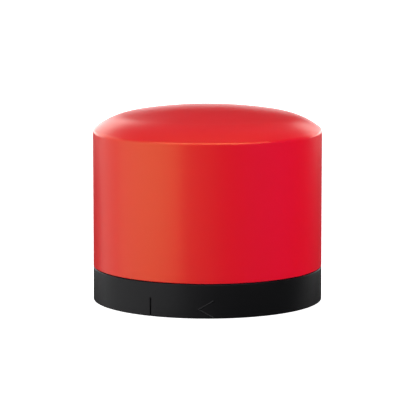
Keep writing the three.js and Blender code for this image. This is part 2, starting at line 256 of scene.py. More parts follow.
def draw(name: str, points: Sequence[Spot]) -> bpy.types.Object:
    """Draws a line of points by extruding one point along it.

    Args:
        name: The piece's name.
        points: The points in order, in millimetres.

    Returns:
        A mesh of edges.
    """
    take()
    bpy.ops.mesh.primitive_plane_add(size=MM)
    piece = new_piece(name)
    with editing(piece):
        bpy.ops.mesh.merge(type="CENTER")
        bpy.ops.transform.translate(value=Vector(points[0]) * MM)
        for here, there in zip(points, points[1:]):
            step = (Vector(there) - Vector(here)) * MM
            bpy.ops.mesh.extrude_vertices_move(TRANSFORM_OT_translate={"value": step})
    return piece


def spun(
    name: str,
    outline: Sequence[Point],
    *,
    ring: bool = False,
    steps: int = 96,
    span: tuple[float, float] = (0.0, 360.0),
) -> bpy.types.Object:
    """Spins an outline about the upright axis through the origin.

    Args:
        name: The piece's name.
        outline: (radius, height) points, from axis to axis, or round a ring's section.
        ring: Whether the outline closes on itself.
        steps: How many steps the spin has.
        span: The angles it runs between, in degrees anticlockwise from +X.

    Returns:
        A closed solid.
    """
    start, end = (math.radians(angle) for angle in span)
    closed = [*outline, outline[0]] if ring else outline
    line = [(r * math.cos(start), r * math.sin(start), z) for r, z in closed]
    piece = draw(name, line)
    with editing(piece):
        bpy.ops.mesh.remove_doubles(threshold=0.002 * MM)
        bpy.ops.mesh.spin(steps=steps, angle=start - end, center=(0, 0, 0), axis=(0, 0, 1))
    return mend(piece, fill=span != (0.0, 360.0))


def eased(outline: Sequence[Point], ease: float, ring: bool = False, steps: int = 4) -> list[Point]:
    """Rounds the corners of an outline.

    Args:
        outline: The sharp outline.
        ease: How far from each corner the rounding starts.
        ring: Whether the outline closes on itself.
        steps: How many steps each corner gets.

    Returns:
        The rounded outline.
    """
    corners = [Vector(point) for point in outline]
    last = len(corners) - 1
    rounded: list[Point] = []
    for i, corner in enumerate(corners):
        if not ring and i in (0, last):
            rounded.append(tuple(corner))
            continue
        before, after = corners[i - 1], corners[(i + 1) % len(corners)]
        reach = min(ease, (before - corner).length / 2.2, (after - corner).length / 2.2)
        start = corner + (before - corner).normalized() * reach
        end = corner + (after - corner).normalized() * reach
        for k in range(steps + 1):
            t = k / steps
            rounded.append(tuple(start * (1 - t) ** 2 + corner * 2 * t * (1 - t) + end * t**2))
    return rounded


def arc(centre: Point, radius: float, start: float, end: float, steps: int) -> list[Point]:
    """Points along an arc, both ends included.

    Args:
        centre: The arc's centre.
        radius: Its radius.
        start: The first angle, in degrees.
        end: The last angle, in degrees.
        steps: How many steps there are.

    Returns:
        The points.
    """
    angles = [math.radians(start + (end - start) * k / steps) for k in range(steps + 1)]
    return [(centre[0] + radius * math.cos(a), centre[1] + radius * math.sin(a)) for a in angles]


def soften(piece: bpy.types.Object, width: float, segments: int = 2, angle: float = 35) -> bpy.types.Object:
    """Rounds a piece's sharp edges.

    Args:
        piece: The piece to round.
        width: The width of the rounding.
        segments: How many faces each edge gets.
        angle: The least angle between faces that counts as sharp, in degrees.

    Returns:
        The same piece.
    """
    take(piece)
    bevel = piece.modifiers.new("edges", "BEVEL")
    bevel.width = width * MM
    bevel.segments = segments
    bevel.limit_method = "ANGLE"
    bevel.angle_limit = math.radians(angle)
    bpy.ops.object.modifier_apply(modifier=bevel.name)
    return piece


def block(name: str, size: Sequence[float], centre: Sequence[float], ease: float = 0.0) -> bpy.types.Object:
    """Makes a block with rounded edges.

    Args:
        name: The piece's name.
        size: Its width, depth and height.
        centre: Its middle.
        ease: The width of the rounding, or 0 for sharp edges.

    Returns:
        The block.
    """
    take()
    bpy.ops.mesh.primitive_cube_add(size=1, location=Vector(centre) * MM, scale=Vector(size) * MM)
    piece = new_piece(name)
    return soften(piece, ease) if ease else piece


def rod(
    name: str,
    radius: float,
    bottom: float,
    top: float,
    at: Point = (0, 0),
    sides: int = 24,
) -> bpy.types.Object:
    """Makes an upright cylinder with sharp edges, for cutting or for a lead.

    Args:
        name: The piece's name.
        radius: Its radius.
        bottom: Its lowest height.
        top: Its highest height.
        at: Its axis.
        sides: How many sides it has.

    Returns:
        The cylinder.
    """
    take()
    bpy.ops.mesh.primitive_cylinder_add(
        vertices=sides,
        radius=radius * MM,
        depth=(top - bottom) * MM,
        location=Vector((*at, (bottom + top) / 2)) * MM,
    )
    return new_piece(name)


def moved(
    piece: bpy.types.Object,
    by: Sequence[float] = (0, 0, 0),
    turn: Sequence[float] = (0, 0, 0),
) -> bpy.types.Object:
    """Turns a piece about the origin, then moves it, and puts both into its mesh.

    Args:
        piece: The piece to move.
        by: How far, in millimetres.
        turn: Angles about X, Y and Z, in degrees.

    Returns:
        The same piece.
    """
    take(piece)
    piece.rotation_euler = [math.radians(angle) for angle in turn]
    piece.location = Vector(by) * MM
    bpy.ops.object.transform_apply(location=True, rotation=True, scale=True)
    return piece


def copied(
    piece: bpy.types.Object,
    name: str,
    by: Sequence[float] = (0, 0, 0),
    turn: Sequence[float] = (0, 0, 0),
) -> bpy.types.Object:
    """Copies a piece, with a mesh of its own.

    Args:
        piece: The piece to copy.
        name: The copy's name.
        by: How far the copy is moved, in millimetres.
        turn: How the copy is turned about the origin first, in degrees.

    Returns:
        The copy.
    """
    take(piece)
    bpy.ops.object.duplicate(linked=False)
    copy = bpy.context.object
    copy.name = name
    copy.data.name = name
    return moved(copy, by, turn)


def joined(name: str, pieces: Sequence[bpy.types.Object]) -> bpy.types.Object:
    """Puts several shells into one piece.

    Args:
        name: The piece's name.
        pieces: The shells, which are used up.

    Returns:
        The one piece.
    """
    take(*pieces)
    if len(pieces) > 1:
        bpy.ops.object.join()
    whole = bpy.context.object
    whole.name = name
    whole.data.name = name
    return whole


def combined(piece: bpy.types.Object, tools: Sequence[bpy.types.Object], how: Join) -> bpy.types.Object:
    """Cuts solids out of a piece or fuses them onto it.

    Args:
        piece: The piece to change.
        tools: The solids, which are used up.
        how: Whether they are cut away or fused on.

    Returns:
        The same piece.
    """
    tool = joined("tool", list(tools))
    take(piece)
    step = piece.modifiers.new("combine", "BOOLEAN")
    step.operation = how.value
    step.solver = "EXACT"
    step.object = tool
    bpy.ops.object.modifier_apply(modifier=step.name)
    bpy.data.objects.remove(tool)
    return piece


def helix(
    name: str,
    section: Sequence[Point],
    pitch: float,
    turns: int,
    bottom: float,
    steps: int = 20,
) -> bpy.types.Object:
    """Winds a closed section up round the origin's axis.

    Args:
        name: The piece's name.
        section: (radius, height) points round the section, with heights counted from the bottom.
        pitch: The rise of each turn.
        turns: How many whole turns there are.
        bottom: The height that the winding starts from.
        steps: How many steps each turn has.

    Returns:
        A closed solid.
    """
    loop = [(r, 0, bottom + z) for r, z in [*section, section[0]]]
    piece = mend(draw(name, loop))
    take(piece)
    wind = piece.modifiers.new("wind", "SCREW")
    wind.angle = math.tau
    wind.screw_offset = pitch * MM
    wind.iterations = turns
    wind.steps = steps
    wind.render_steps = steps
    bpy.ops.object.modifier_apply(modifier=wind.name)
    return mend(piece, fill=True)


def dressed(piece: bpy.types.Object, material: bpy.types.Material, angle: float = 30) -> bpy.types.Object:
    """Gives a piece its material and smooth shading.

    Args:
        piece: The piece to dress.
        material: Its material.
        angle: The sharpest angle between faces that is shaded smooth, in degrees.

    Returns:
        The same piece.
    """
    piece.data.materials.clear()
    piece.data.materials.append(material)
    take(piece)
    bpy.ops.object.shade_smooth_by_angle(angle=math.radians(angle))
    return piece


def around(radius: float, angle: float) -> Point:
    """A point on a circle about the axis.

    Args:
        radius: The circle's radius.
        angle: Degrees anticlockwise from +X.

    Returns:
        Its X and Y.
    """
    return radius * math.cos(math.radians(angle)), radius * math.sin(math.radians(angle))


def oblong(inner: float, outer: float, low: float, high: float) -> list[Point]:
    """The oblong section between two radii and two heights.

    Args:
        inner: The inner radius.
        outer: The outer radius.
        low: The lowest height.
        high: The highest height.

    Returns:
        Its four corners.
    """
    return [(inner, low), (outer, low), (outer, high), (inner, high)]


def numbered(prefix: str, count: int) -> list[str]:
    """The names of repeated nodes, which are numbered from 1."""
    return [f"{prefix}_{i}" for i in range(1, count + 1)]


def middle(node: str) -> Point:
    """The X and Y of a node's middle."""
    centre = Place.of(node).centre
    return centre.x, centre.y


def middles(prefix: str, count: int) -> list[Point]:
    """The X and Y of each repeated node's middle."""
    return [middle(node) for node in numbered(prefix, count)]


# ------------------------------------------------------------------ finishes


def linear(colour: str) -> Colour:
    """Turns an sRGB hex colour into Blender's linear one.

    Args:
        colour: Six hex digits.

    Returns:
        The linear colour, opaque.
    """
    shares = [int(colour[i : i + 2], 16) / 255 for i in (0, 2, 4)]
    red, green, blue = (s / 12.92 if s <= 0.04045 else ((s + 0.055) / 1.055) ** 2.4 for s in shares)
    return red, green, blue, 1.0


def add_node(
    tree: bpy.types.NodeTree,
    kind: str,
    settings: dict[str, Any] | None = None,
    inputs: dict[str | int, Any] | None = None,
) -> bpy.types.Node:
    """Adds a node with its settings, values and links.

    Args:
        tree: The node tree.
        kind: The node's type, after the ShaderNode prefix.
        settings: Properties of the node itself.
        inputs: A value, or a socket to link from, for each input.

    Returns:
        The node.
    """
    node = tree.nodes.new(f"ShaderNode{kind}")
    for key, value in (settings or {}).items():
        setattr(node, key, value)
    for key, value in (inputs or {}).items():
        if isinstance(value, bpy.types.NodeSocket):
            tree.links.new(value, node.inputs[key])
        else:
            node.inputs[key].default_value = value
    return node


def cells(size: float) -> float:
    """The scale of a texture on Object coordinates whose pattern repeats at a size in millimetres."""
    return 1 / (size * MM)


def worn(tree: bpy.types.NodeTree, grain: float, detail: float = 4.0) -> bpy.types.NodeSocket:
    """A cloudy pattern on Object coordinates.

    Args:
        tree: The node tree.
        grain: The pattern's size in millimetres.
        detail: How many finer layers it has.

    Returns:
        A value round a half.
    """
    where = add_node(tree, "TexCoord").outputs["Object"]
    cloud = add_node(tree, "TexNoise", inputs={"Vector": where, "Scale": cells(grain), "Detail": detail})
    return cloud.outputs[0]


@dataclass(frozen=True)
class Finish:
    """A material that is built once and then shared."""

    name: str

    def material(self) -> bpy.types.Material:
        """Builds the material the first time and gives the same one again after that.

        Returns:
            The material.
        """
        ready = bpy.data.materials.get(self.name)
        if ready:
            return ready
        material = bpy.data.materials.new(self.name)
        material.use_nodes = True
        tree = material.node_tree
        tree.nodes.clear()
        add_node(tree, "OutputMaterial", inputs={"Surface": self.surface(tree)})
        return material

    def surface(self, tree: bpy.types.NodeTree) -> bpy.types.NodeSocket:
        """Adds the finish's shader and patterns.

        Args:
            tree: The empty node tree.

        Returns:
            The shader's output.
        """
        raise NotImplementedError


@dataclass(frozen=True)
class Moulding(Finish):
    """Moulded, printed or dipped plastic and rubber, with an even texture and slow clouds of colour.

    A mould's own grain is a few hundredths of a millimetre wide. That is too fine to show, so it is
    drawn several times as coarse.
    """

    colour: str
    shade: str  # the colour that clouds the first one
    roughness: float
    ior: float = 1.5
    level: float = 0.5  # how strongly it mirrors
    tint: str = "ffffff"  # the colour of what it mirrors head on
    grain: float = 0.35  # millimetres across
    relief: float = 0.012  # millimetres deep
    mottle: float = 9.0  # millimetres across a cloud
    under: float = 0.0  # share of the light that is scattered under the skin
    spread: float = 0.04  # how far the grain changes the roughness either way
    scatter: float = 2.0  # millimetres that light travels under the skin

    def surface(self, tree: bpy.types.NodeTree) -> bpy.types.NodeSocket:
        """Adds the plastic's shader, clouds and grain.

        Args:
            tree: The empty node tree.

        Returns:
            The shader's output.
        """
        cloud = worn(tree, self.mottle, 2.0)
        grain = worn(tree, self.grain)
        colour = add_node(
            tree,
            "Mix",
            {"data_type": "RGBA"},
            {0: cloud, 6: linear(self.colour), 7: linear(self.shade)},
        )
        smooth, rough = self.roughness - self.spread, self.roughness + self.spread
        gloss = add_node(tree, "MapRange", inputs={0: grain, 1: 0.3, 2: 0.7, 3: smooth, 4: rough})
        depth = self.relief * MM
        bump = add_node(tree, "Bump", inputs={"Strength": 0.35, "Distance": depth, "Height": grain})
        shader = add_node(
            tree,
            "BsdfPrincipled",
            inputs={
                "Base Color": colour.outputs[2],
                "Roughness": gloss.outputs[0],
                "IOR": self.ior,
                "Specular IOR Level": self.level,
                "Specular Tint": linear(self.tint),
                "Subsurface Weight": self.under,
                "Subsurface Scale": self.scatter * MM,
                "Normal": bump.outputs[0],
            },
        )
        return shader.outputs[0]


@dataclass(frozen=True)
class Plating(Finish):
    """Bare or plated metal, whose shine varies a little with handling and the bath it was plated in."""

    colour: str
    shade: str  # the colour that clouds the first one
    roughness: float
    grain: float = 0.8  # millimetres across a cloud

    def surface(self, tree: bpy.types.NodeTree) -> bpy.types.NodeSocket:
        """Adds the metal's shader, with one cloudy pattern for its colour and its shine.

        Args:
            tree: The empty node tree.

        Returns:
            The shader's output.
        """
        cloud = worn(tree, self.grain)
        colour = add_node(
            tree,
            "Mix",
            {"data_type": "RGBA"},
            {0: cloud, 6: linear(self.colour), 7: linear(self.shade)},
        )
        gloss = add_node(
            tree,
            "MapRange",
            inputs={0: cloud, 1: 0.3, 2: 0.7, 3: self.roughness * 0.75, 4: self.roughness * 1.3},
        )
        shader = add_node(
            tree,
            "BsdfPrincipled",
            inputs={"Base Color": colour.outputs[2], "Roughness": gloss.outputs[0], "Metallic": 1.0},
        )
        return shader.outputs[0]


@dataclass(frozen=True)
class ClearPlastic(Finish):
    """Clear moulded acrylic or silicone, which shows what is behind it with a soft edge."""

    colour: str
    roughness: float
    ior: float = 1.49
    ripple: float = 2.0  # millimetres between the faint waves of its skin
    relief: float = 0.01  # millimetres deep

    def surface(self, tree: bpy.types.NodeTree) -> bpy.types.NodeSocket:
        """Adds the clear shader and its faint waves.

        Args:
            tree: The empty node tree.

        Returns:
            The shader's output.
        """
        wave = worn(tree, self.ripple)
        bump = add_node(tree, "Bump", inputs={"Strength": 0.1, "Distance": self.relief * MM, "Height": wave})
        shader = add_node(
            tree,
            "BsdfPrincipled",
            inputs={
                "Base Color": linear(self.colour),
                "Roughness": self.roughness,
                "IOR": self.ior,
                "Transmission Weight": 0.92,
                "Normal": bump.outputs[0],
            },
        )
        return shader.outputs[0]


@dataclass(frozen=True)
class StripedSleeve(Finish):
    """Shrunk PVC sleeve of an electrolytic capacitor, with the pale stripe that marks its negative lead."""

    colour: str
    stripe: str
    centre: Point  # the can's axis
    half_width: float = 1.1
    roughness: float = 0.28
    ripple: float = 1.5  # millimetres between the waves that shrinking leaves
    relief: float = 0.02  # millimetres deep

    def surface(self, tree: bpy.types.NodeTree) -> bpy.types.NodeSocket:
        """Adds the sleeve's shader, with the stripe down its front.

        Args:
            tree: The empty node tree.

        Returns:
            The shader's output.
        """
        where = add_node(tree, "TexCoord").outputs["Object"]
        axis = (-self.centre[0] * MM, -self.centre[1] * MM, 0)
        centred = add_node(tree, "Mapping", inputs={"Vector": where, "Location": axis})
        parts = add_node(tree, "SeparateXYZ", inputs={0: centred.outputs[0]})
        aside = add_node(tree, "Math", {"operation": "ABSOLUTE"}, {0: parts.outputs[0]})
        inside = add_node(
            tree,
            "Math",
            {"operation": "LESS_THAN"},
            {0: aside.outputs[0], 1: self.half_width * MM},
        )
        front = add_node(tree, "Math", {"operation": "LESS_THAN"}, {0: parts.outputs[1], 1: 0.0})
        both = {0: inside.outputs[0], 1: front.outputs[0]}
        marked = add_node(tree, "Math", {"operation": "MULTIPLY"}, both)
        colour = add_node(
            tree,
            "Mix",
            {"data_type": "RGBA"},
            {0: marked.outputs[0], 6: linear(self.colour), 7: linear(self.stripe)},
        )
        wave = worn(tree, self.ripple)
        bump = add_node(tree, "Bump", inputs={"Strength": 0.2, "Distance": self.relief * MM, "Height": wave})
        shader = add_node(
            tree,
            "BsdfPrincipled",
            inputs={"Base Color": colour.outputs[2], "Roughness": self.roughness, "Normal": bump.outputs[0]},
        )
        return shader.outputs[0]


@dataclass(frozen=True)
class LitPaper(Finish):
    """Matt white paper that glows a little, so that it stays as white as the room."""

    colour: str
    glow: float

    def surface(self, tree: bpy.types.NodeTree) -> bpy.types.NodeSocket:
        """Adds the paper's shader.

        Args:
            tree: The empty node tree.

        Returns:
            The shader's output.
        """
        shader = add_node(
            tree,
            "BsdfPrincipled",
            inputs={
                "Base Color": linear(self.colour),
                "Roughness": 0.9,
                "Specular IOR Level": 0.0,
                "Emission Color": (1, 1, 1, 1),
                "Emission Strength": self.glow,
            },
        )
        return shader.outputs[0]


# Polycarbonate from a finely blasted mould, coloured through and milky. The eye gets a deep even red
# with a broad satin shine, and no grain. What it mirrors head on is tinted yellow, which turns the red
# to orange where a lamp shows in it.
RED_LENS = Moulding(
    "red_polycarbonate",
    "e8202c",
    "e61f2a",
    0.3,
    1.585,
    0.37,
    "f8ff90",
    grain=0.5,
    relief=0.002,
    mottle=30,
    under=0.15,
    spread=0.008,
)
# ABS from a spark-eroded mould: near black, with a fine even grain that spreads its shine.
BLACK_BODY = Moulding("black_abs", "141416", "101012", 0.42, 1.53, 0.14, grain=0.4, relief=0.02, mottle=14)
# Pressed and cured nitrile rubber: dull and even, with hardly any shine.
BLACK_RUBBER = Moulding("nitrile_rubber", "171717", "111111", 0.8, grain=0.2, relief=0.02, mottle=4)
# Moulded nylon filled with glass: short fibres near the skin leave it dull and mottled.
GREY_BODY = Moulding("grey_glass_filled_nylon", "8d9194", "7f8386", 0.55, grain=0.3, relief=0.02, mottle=5)
# Moulded polyester with white pigment: a plain warm white with a low shine.
WHITE_BODY = Moulding("white_pbt", "dcdbd4", "d2d0c8", 0.5, grain=0.4, relief=0.015, mottle=8)
# Solder mask, flowed on and cured over glass-epoxy: a thin green gloss with slow waves.
GREEN_MASK = Moulding("green_solder_mask", "155c35", "1c6a3e", 0.32, grain=0.8, relief=0.006, mottle=6)
# The same mask over etched copper, which shows through it as a lighter green.
TRACK_MASK = Moulding("solder_mask_over_copper", "2b8a55", "24794a", 0.3, grain=0.8, relief=0.006, mottle=3)
# White solder mask, flowed on and cured: an even white with a soft shine.
WHITE_MASK = Moulding("white_solder_mask", "e6e6e0", "dededa", 0.38, grain=0.6, relief=0.006, mottle=4)
# White mask over etched copper, which dulls it by a shade.
WHITE_TRACK = Moulding("white_mask_over_copper", "dcdcd4", "d4d4cb", 0.34, grain=0.6, relief=0.006, mottle=3)
# Epoxy ink, squeezed through a screen: a matt white that stands just proud of the mask.
WHITE_INK = Moulding("screen_printed_ink", "f0f0ea", "e2e2dc", 0.6, grain=0.15, relief=0.01, mottle=1)
# Moulded frame of an LED, full of white pigment: bright and smooth.
LED_FRAME = Moulding("white_led_frame", "f0ede4", "e4e0d4", 0.4, grain=0.2, relief=0.006, mottle=1)
# Silicone full of yellow phosphor, dropped into the frame and cured: opaque and slightly wet to the eye.
PHOSPHOR = Moulding("yellow_phosphor_gel", "e8b92c", "dba81e", 0.35, grain=0.12, relief=0.01, mottle=0.8)
# Moulded epoxy filled with silica: charcoal grey and dull, with a fine speckle.
CHIP_EPOXY = Moulding("black_moulding_epoxy", "242427", "1c1c1f", 0.5, grain=0.12, relief=0.02, mottle=2)
# Ferrite pressed from powder and fired: a brownish black with a coarse dull grain.
FERRITE = Moulding("sintered_ferrite", "3e3c3e", "2f2d30", 0.62, grain=0.15, relief=0.03, mottle=1.2)
# Epoxy that the disc was dipped in and cured: glossy and slightly uneven, like thick paint.
BLUE_DIP = Moulding("blue_dipped_epoxy", "2458ae", "1d4c9c", 0.22, grain=1.4, relief=0.06, mottle=3)
# Moulded nylon, coloured through: a flat red with a low shine.
SWITCH_RED = Moulding("red_nylon", "b3262b", "a31f25", 0.45, grain=0.25, relief=0.015, mottle=3)
# Moulded acetal: hard, white and faintly waxy.
SLIDER_WHITE = Moulding("white_acetal", "efeee8", "e4e2da", 0.4, grain=0.2, relief=0.01, mottle=1)

# Cold-formed steel, plated with zinc in a bath: bright grey with soft clouds.
ZINC = Plating("zinc_plated_steel", "c2c4c6", "a8abb0", 0.32, 0.6)
# Steel wire drawn through a die: smooth and bright along its length.
SPRING_WIRE = Plating("drawn_spring_wire", "b9bcc0", "9ea1a6", 0.28, 0.3)
# Turned brass with a thin coat of gold: warm, bright and even.
GOLD = Plating("gold_plated_brass", "d9ab4e", "c7963a", 0.24, 0.5)
# Tin solder that froze where it flowed: a smooth silver with a slightly uneven shine.
SOLDER = Plating("tin_solder", "c9cbcc", "b4b7ba", 0.3, 0.4)
# Drawn copper wire under clear enamel, which makes it darker and browner.
COPPER = Plating("enamelled_copper", "b8602f", "9e4d22", 0.3, 0.4)
# Deep-drawn aluminium, left bare: pale grey with a soft shine.
CAN_TOP = Plating("bare_aluminium", "c6c8ca", "b6b8bb", 0.35, 0.5)

# Acrylic from a polished mould: clear, and just soft enough to blur what is behind it.
CLEAR_SLEEVE = ClearPlastic("clear_acrylic", "f2f5f6", 0.12)
# Silicone cast over the LED: clear and faintly warm, with a wet shine.
CLEAR_GEL = ClearPlastic("clear_silicone", "fff4dc", 0.05, 1.41)

# Plain white paper, unprinted: matt, with no grain to show.
FLOOR_PAPER = LitPaper("white_paper", "f6f6f6", 1.0)


# ------------------------------------------------------------------ lens


@dataclass
class Lens:
    """The domed lens with its three bayonet lugs, its clear prism sleeve and its seal."""

    wall: float = 2.2
    edge_radius: float = 1.4
    edge_slope: float = 38.0  # degrees, where the rounded edge meets the shoulder
    crown_radius: float = 140.0
    crown_reach: float = 25.0  # the radius where the shoulder meets the crown
    foot_ease: float = 0.2
    rebate_radius: float = 33.6
    rebate_depth: float = 1.0
    lug_half: float = 8.0  # degrees
    lug_height: Point = (11.8, 13.6)  # lowest and highest
    lug_inner: float = 30.1
    lug_root: float = 0.6  # how far a lug reaches into the wall
    lug_ease: float = 0.15
    lug_angles: Sequence[float] = (90.0, 210.0, 330.0)
    sleeve_wall: float = 1.2
    sleeve_ease: float = 0.15
    rib_side: float = 1.3
    rib_sink: float = 0.25  # how far a rib's middle is inside the sleeve's wall
    rib_gap: float = 0.6  # how much shorter than the sleeve a rib is
    rib_count: int = 36
    seal_inner: float = 31.7
    seal_ease: float = 0.3
    steps: int = 240

    def surface(self, inset: float) -> list[Point]:
        """The outline of the lens above its upright wall, up to the axis.

        The rounded edge, the shoulder and the wide crown are three arcs that meet without a kink.

        Args:
            inset: How far inside the outer surface the outline lies.

        Returns:
            The outline.
        """
        place = Place.of("lens_dome")
        slope = math.radians(self.edge_slope)
        crown_slope = math.asin(self.crown_reach / self.crown_radius)
        edge_centre = place.radius - self.edge_radius
        rim = edge_centre + self.edge_radius * math.sin(slope)
        shoulder_radius = (rim - self.crown_reach) / (math.sin(slope) - math.sin(crown_slope))
        shoulder_centre = rim - shoulder_radius * math.sin(slope)
        crown_z = place.top - self.crown_radius
        shoulder_z = crown_z + (self.crown_radius - shoulder_radius) * math.cos(crown_slope)
        edge_z = shoulder_z + (shoulder_radius - self.edge_radius) * math.cos(slope)
        meet = 90 - math.degrees(crown_slope)
        start = 90 - self.edge_slope
        edge: list[Point] = []
        if inset < self.edge_radius:
            edge = arc((edge_centre, edge_z), self.edge_radius - inset, 0, start, 10)
        else:
            reach = (place.radius - inset - shoulder_centre) / (shoulder_radius - inset)
            start = math.degrees(math.acos(reach))
        shoulder = arc((shoulder_centre, shoulder_z), shoulder_radius - inset, start, meet, 14)
        crown = arc((0, crown_z), self.crown_radius - inset, meet, 90, 14)
        return [*edge, *shoulder[1 if edge else 0 :], *crown[1:-1], (0.0, crown[-1][1])]

    def shell(self) -> bpy.types.Object:
        """Makes the lens: one turned wall with its lugs fused on inside.

        Returns:
            The lens.
        """
        place = Place.of("lens_dome")
        outside = self.surface(0)
        inside = self.surface(self.wall)
        foot = place.bottom
        shelf = foot + self.rebate_depth
        lower = eased(
            [
                inside[0],
                (place.radius - self.wall, shelf),
                (self.rebate_radius, shelf),
                (self.rebate_radius, foot),
                (place.radius, foot),
                outside[0],
            ],
            self.foot_ease,
        )
        outline = [*reversed(inside), *lower[1:-1], *outside]
        shell = spun("lens_shell", outline, steps=self.steps)
        lugs = [self.lug(angle) for angle in self.lug_angles]
        return combined(shell, lugs, Join.FUSE)

    def lug(self, angle: float) -> bpy.types.Object:
        """Makes one lug.

        Args:
            angle: Where it stands.

        Returns:
            The lug, which reaches into the wall.
        """
        outer = Place.of("lens_dome").radius - self.wall + self.lug_root
        low, high = self.lug_height
        span = (angle - self.lug_half, angle + self.lug_half)
        lug = spun("lug", oblong(self.lug_inner, outer, low, high), ring=True, steps=10, span=span)
        return soften(lug, self.lug_ease)

    def sleeve(self) -> bpy.types.Object:
        """Makes the clear sleeve, with an upright prism along the inside for each rib.

        Returns:
            The sleeve.
        """
        place = Place.of("lens_liner")
        inner = place.radius - self.sleeve_wall
        section = eased(oblong(inner, place.radius, place.bottom, place.top), self.sleeve_ease, ring=True)
        body = spun("prism_sleeve", section, ring=True, steps=144)
        size = (self.rib_side, self.rib_side, place.size.z - self.rib_gap)
        rib = block("rib", size, (0, 0, place.centre.z))
        moved(rib, (inner + self.rib_sink, 0, 0), (0, 0, 45))
        ribs = [copied(rib, "rib", turn=(0, 0, 360 * i / self.rib_count)) for i in range(1, self.rib_count)]
        return joined("prism_sleeve", [body, rib, *ribs])

    def build(self, register: Register) -> None:
        """Makes, dresses and places the lens's pieces.

        Args:
            register: The frame's nodes.
        """
        register.instead(dressed(self.shell(), RED_LENS.material()), "lens_dome")
        register.instead(dressed(self.sleeve(), CLEAR_SLEEVE.material()), "lens_liner")
        seal = ring_seal("lens_gasket", "lens_seal", self.seal_inner, self.seal_ease)
        register.instead(dressed(seal, BLACK_RUBBER.material(), 60), "lens_seal")


def ring_seal(name: str, node: str, inner: float, ease: float) -> bpy.types.Object:
    """Makes a rubber ring with rounded edges.

    Args:
        name: The piece's name.
        node: The node that it stands for.
        inner: Its inner radius.
        ease: How round its edges are.

    Returns:
        The ring.
    """
    place = Place.of(node)
    section = eased(oblong(inner, place.radius, place.bottom, place.top), ease, ring=True)
    return spun(name, section, ring=True, steps=144)


# ------------------------------------------------------------------ collar


